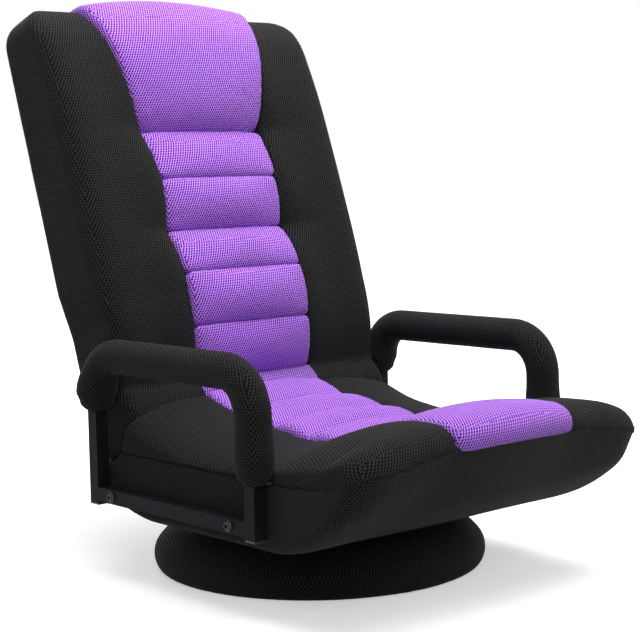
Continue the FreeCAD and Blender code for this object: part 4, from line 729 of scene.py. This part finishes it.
# Pieces
class CHAIR_OT_finishes(Operator):
    """Make the finishes and give the hard pieces theirs"""

    bl_idname = "chair.finishes"
    bl_label = "Finishes"

    def execute(self, context):
        paint = colours()
        group = air_mesh_group()
        # The hole colours handed over here are painted shade deep in the holes of the mesh
        mesh_cloth("Purple mesh", group, paint.purple, paint.purple_hole_shade, *PURPLE_LOOK)
        mesh_cloth("Black mesh", group, paint.black, paint.black_hole_shade, *BLACK_LOOK)
        plain_finish("Thread", *THREAD_LOOK)
        finishes = {"black_steel": plain_finish("Powder coat", paint.steel, *POWDER_COAT_LOOK)}
        for slot, look in HARD_LOOKS.items():
            finishes[slot] = plain_finish(*look)
        for node in frame["nodes"].values():
            for place in node.material_slots:
                slot = place.material.name.split(".")[0]
                if slot in finishes:
                    place.material = finishes[slot]
        return {"FINISHED"}


class CHAIR_OT_base_cushion(Operator):
    """Make the padded ring of the base"""

    bl_idname = "chair.base_cushion"
    bl_label = "Base cushion"

    def execute(self, context):
        piece = cover_of("base_pad", "base_cushion")
        weave(piece, sizes().cell, SHELL_ROUNDS)
        ruffle(piece, sizes().unevenness)
        dress(piece, material_of("Black mesh"))
        hand_over(piece, "base", "black_mesh", CUSHION_FILL, "base_pad")
        return {"FINISHED"}


class CHAIR_OT_seat_shell(Operator):
    """Make the lower cover of the seat"""

    bl_idname = "chair.seat_shell"
    bl_label = "Seat shell"

    def execute(self, context):
        piece = cover_of("seat_underbody", "seat_shell")
        weave(piece, sizes().cell, SHELL_ROUNDS)
        fill_out(piece, sizes().fullness)
        bulge_corners(piece, sizes().corner, sizes().belly)
        bow_seam(piece)
        ruffle(piece, sizes().unevenness)
        dress(piece, material_of("Black mesh"))
        hand_over(piece, "seat", "black_mesh", CUSHION_FILL, "seat_underbody")
        return {"FINISHED"}


class CHAIR_OT_seat_bolsters(Operator):
    """Make the two side bolsters of the seat"""

    bl_idname = "chair.seat_bolsters"
    bl_label = "Seat bolsters"

    def execute(self, context):
        for side in ("left", "right"):
            piece = cover_of("seat_bolster_" + side, "seat_side_" + side)
            weave(piece, sizes().cell, SHELL_ROUNDS)
            plump(piece, sewn_off(SEAT_FACE), SEAT_SWELL * sizes().swell_limit)
            fill_out(piece, sizes().fullness)
            bulge_corners(piece, sizes().corner, 0.0)
            bow_seam(piece)
            settle_top(piece, BOLSTER_SINKS)
            ruffle(piece, sizes().unevenness)
            dress(piece, material_of("Black mesh"))
            hand_over(piece, "seat", "black_mesh", CUSHION_FILL, "seat_bolster_" + side)
        return {"FINISHED"}


class CHAIR_OT_seat_rolls(Operator):
    """Make the channelled middle of the seat and its front roll"""

    bl_idname = "chair.seat_rolls"
    bl_label = "Seat rolls"

    def execute(self, context):
        for node, name, depth in SEAT_ROLLS:
            rolls = split(cover_of(node, name))
            for roll in rolls:
                weave(roll, sizes().cell, ROLL_ROUNDS)
                round_flanks(roll, 1, SEAT_FLANK, SEAT_FLANK_ROUNDS)
                plump(roll, sewn_off(SEAT_FACE), SEAT_SWELL * sizes().swell_limit)
                fill_out(roll, sizes().fullness)
            piece = join(rolls, name)
            bow_seam(piece)
            settle_top(piece, depth)
            dress(piece, material_of("Purple mesh"))
            hand_over(piece, "seat", "purple_mesh", CUSHION_FILL, node)
        return {"FINISHED"}


class CHAIR_OT_back_cover(Operator):
    """Make the rear cover of the back and its two side bolsters, sewn from one cloth"""

    bl_idname = "chair.back_cover"
    bl_label = "Back cover"

    def execute(self, context):
        nodes = ("back_panel", "back_bolster_left", "back_bolster_right")
        cloths = [cover_of(node, node + "_cloth") for node in nodes]
        near, far = HINGE_SLOT
        for low, high in ((-far, -near), (near, far)):
            for band in HINGE_BANDS:
                cloths.append(round_end("hinge_cover", low, high, *band))
        piece = join(cloths, "back_cover")
        weave(piece, sizes().cell, COVER_ROUNDS)
        fill_out(piece, sizes().fullness)
        ruffle(piece, sizes().unevenness)
        dress(piece, material_of("Black mesh"))
        hand_over(piece, "backrest", "black_mesh", CUSHION_FILL, *nodes)
        return {"FINISHED"}


class CHAIR_OT_back_rolls(Operator):
    """Make the channelled middle of the back and the head pillow"""

    bl_idname = "chair.back_rolls"
    bl_label = "Back rolls"

    def execute(self, context):
        for node, name, rounds in BACK_ROLLS:
            rolls = split(cover_of(node, name))
            for roll in rolls:
                weave(roll, sizes().cell, ROLL_ROUNDS)
                round_flanks(roll, 2, BACK_FLANK, rounds)
                plump(roll, sewn_off(BACK_FACE), sizes().swell_limit)
                fill_out(roll, sizes().fullness)
            piece = join(rolls, name)
            dress(piece, material_of("Purple mesh"))
            hand_over(piece, "backrest", "purple_mesh", CUSHION_FILL, node)
        return {"FINISHED"}


class CHAIR_OT_crease_skin(Operator):
    """Carry the cloth round the lower end of the back, into the crease"""

    bl_idname = "chair.crease_skin"
    bl_label = "Crease skin"

    def execute(self, context):
        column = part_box("lower_channel_pads")[1].x
        piece = round_end("crease_middle", -column, column, *CREASE_BAND)
        dress(piece, material_of("Purple mesh"))
        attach(piece, "backrest")
        return {"FINISHED"}


class CHAIR_OT_arm_sleeves(Operator):
    """Make the padded sleeves of the arms"""

    bl_idname = "chair.arm_sleeves"
    bl_label = "Arm sleeves"

    def execute(self, context):
        for side in ("left", "right"):
            piece = cover_of("arm_pad_" + side, "arm_sleeve_" + side)
            weave(piece, SLEEVE_CELL, SLEEVE_ROUNDS)
            gather_end(piece, True, REAR_END)
            gather_end(piece, False, FRONT_END)
            ruffle(piece, sizes().unevenness)
            dress(piece, material_of("Black mesh"))
            hand_over(piece, "seat", "black_mesh", SLEEVE_FILL, "arm_pad_" + side)
        return {"FINISHED"}


class CHAIR_OT_foam_blocks(Operator):
    """Make the foam inside the seat and the back"""

    bl_idname = "chair.foam_blocks"
    bl_label = "Foam blocks"

    def execute(self, context):
        for node, name, body in (("seat_foam", "seat_core", "seat"), ("back_foam", "back_core", "backrest")):
            piece = cover_of(node, name)
            weave(piece, FOAM_CELL, FOAM_ROUNDS)
            dress(piece, material_of("Foam"))
            hand_over(piece, body, "foam", FOAM_FILL, node)
        return {"FINISHED"}


class CHAIR_OT_seams(Operator):
    """Lay the dark thread into the seams between the cloths"""

    bl_idname = "chair.seams"
    bl_label = "Seams"

    def execute(self, context):
        for side in ("left", "right"):
            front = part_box("arm_frame_" + side)[0].y
            seam_thread("seat_bolster_" + side, "seat_seam_" + side, "seat", front)
        return {"FINISHED"}


class CHAIR_OT_stage(Operator):
    """Set up the floor, the lights and the camera"""

    bl_idname = "chair.stage"
    bl_label = "Stage"

    def execute(self, context):
        scene = context.scene
        bpy.ops.mesh.primitive_plane_add(size=FLOOR_SIZE, location=FLOOR_PLACE)
        floor = context.view_layer.objects.active
        floor.name = "studio_floor"
        floor.data.materials.append(self.floor_finish())
        for light in LIGHTS:
            self.light(*light)
        self.sky(scene)
        self.camera(scene)
        scene.view_settings.view_transform = "Standard"
        return {"FINISHED"}

    def floor_finish(self):
        material, tree, shade = new_material("Studio floor")
        shade.inputs["Roughness"].default_value = FLOOR_ROUGHNESS
        shade.inputs["Specular IOR Level"].default_value = FLOOR_GLOSS
        shade.inputs["Emission Color"].default_value = WHITE
        look = seen(tree)
        place = tree.nodes.new("ShaderNodeTexCoord")
        reach = tree.nodes.new("ShaderNodeVectorMath")
        reach.operation = "LENGTH"
        tree.links.new(place.outputs["Object"], reach.inputs[0])
        fade = spread(tree, reach.outputs["Value"], FLOOR_FADE, FLOOR_GLOW, smooth=True)
        tree.links.new(two_tone(tree, look, FLOOR_UNSEEN, FLOOR_SEEN), shade.inputs["Base Color"])
        tree.links.new(maths(tree, "MULTIPLY", look, fade), shade.inputs["Emission Strength"])
        return material

    def light(self, name, place, size, power):
        bpy.ops.object.light_add(type="AREA", location=place)
        lamp = bpy.context.view_layer.objects.active
        lamp.name = name
        lamp.data.size = size
        lamp.data.energy = power
        lamp.rotation_mode = "QUATERNION"
        lamp.rotation_quaternion = (LIGHT_AIM - Vector(place)).to_track_quat("-Z", "Y")

    def sky(self, scene):
        world = bpy.data.worlds.new("Studio")
        world.use_nodes = True
        scene.world = world
        tree = world.node_tree
        glow = tree.nodes["Background"]
        glow.inputs["Color"].default_value = WHITE
        tree.links.new(spread(tree, seen(tree), UNIT, SKY_LEVELS), glow.inputs["Strength"])

    def camera(self, scene):
        turn = math.radians(CAMERA_AZIMUTH)
        rise = math.radians(CAMERA_ELEVATION)
        roll = math.radians(CAMERA_ROLL)
        back = Vector((math.sin(turn) * math.cos(rise), -math.cos(turn) * math.cos(rise), math.sin(rise)))
        right = (-back).cross(Vector((0.0, 0.0, 1.0))).normalized()
        up = right.cross(-back)
        right_rolled = right * math.cos(roll) + up * math.sin(roll)
        up_rolled = up * math.cos(roll) - right * math.sin(roll)
        bpy.ops.object.camera_add(location=CAMERA_PLACE)
        camera = bpy.context.view_layer.objects.active
        camera.name = "camera"
        facing = Matrix((right_rolled, up_rolled, back)).transposed()
        camera.rotation_mode = "QUATERNION"
        camera.rotation_quaternion = facing.to_quaternion()
        camera.data.sensor_width = SENSOR_WIDTH
        camera.data.lens = CAMERA_LENS
        scene.camera = camera


class CHAIR_PT_sidebar(Panel):
    """Buttons that make the chair"""

    bl_label = "Floor Gaming Chair"
    bl_idname = "CHAIR_PT_sidebar"
    bl_space_type = "VIEW_3D"
    bl_region_type = "UI"
    bl_category = "Chair"

    def draw(self, context):
        layout = self.layout
        for name in ChairSizes.__annotations__:
            layout.prop(context.scene.chair_sizes, name)
        for name in ChairColours.__annotations__:
            layout.prop(context.scene.chair_colours, name)
        for step in STEPS:
            layout.operator(step.bl_idname)


STEPS = (
    CHAIR_OT_finishes,
    CHAIR_OT_seams,
    CHAIR_OT_base_cushion,
    CHAIR_OT_seat_shell,
    CHAIR_OT_seat_bolsters,
    CHAIR_OT_seat_rolls,
    CHAIR_OT_back_cover,
    CHAIR_OT_back_rolls,
    CHAIR_OT_crease_skin,
    CHAIR_OT_arm_sleeves,
    CHAIR_OT_foam_blocks,
    CHAIR_OT_stage,
)
CLASSES = (ChairSizes, ChairColours) + STEPS + (CHAIR_PT_sidebar,)


def register():
    for kind in CLASSES:
        bpy.utils.register_class(kind)
    bpy.types.Scene.chair_sizes = PointerProperty(type=ChairSizes)
    bpy.types.Scene.chair_colours = PointerProperty(type=ChairColours)


def unregister():
    del bpy.types.Scene.chair_colours
    del bpy.types.Scene.chair_sizes
    for kind in reversed(CLASSES):
        bpy.utils.unregister_class(kind)


def main():
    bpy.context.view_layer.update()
    register()
    bpy.ops.chair.finishes()
    bpy.ops.chair.seams()
    bpy.ops.chair.base_cushion()
    bpy.ops.chair.seat_shell()
    bpy.ops.chair.seat_bolsters()
    bpy.ops.chair.seat_rolls()
    bpy.ops.chair.back_cover()
    bpy.ops.chair.back_rolls()
    bpy.ops.chair.crease_skin()
    bpy.ops.chair.arm_sleeves()
    bpy.ops.chair.foam_blocks()
    bpy.ops.chair.stage()


if __name__ == "__main__":
    main()
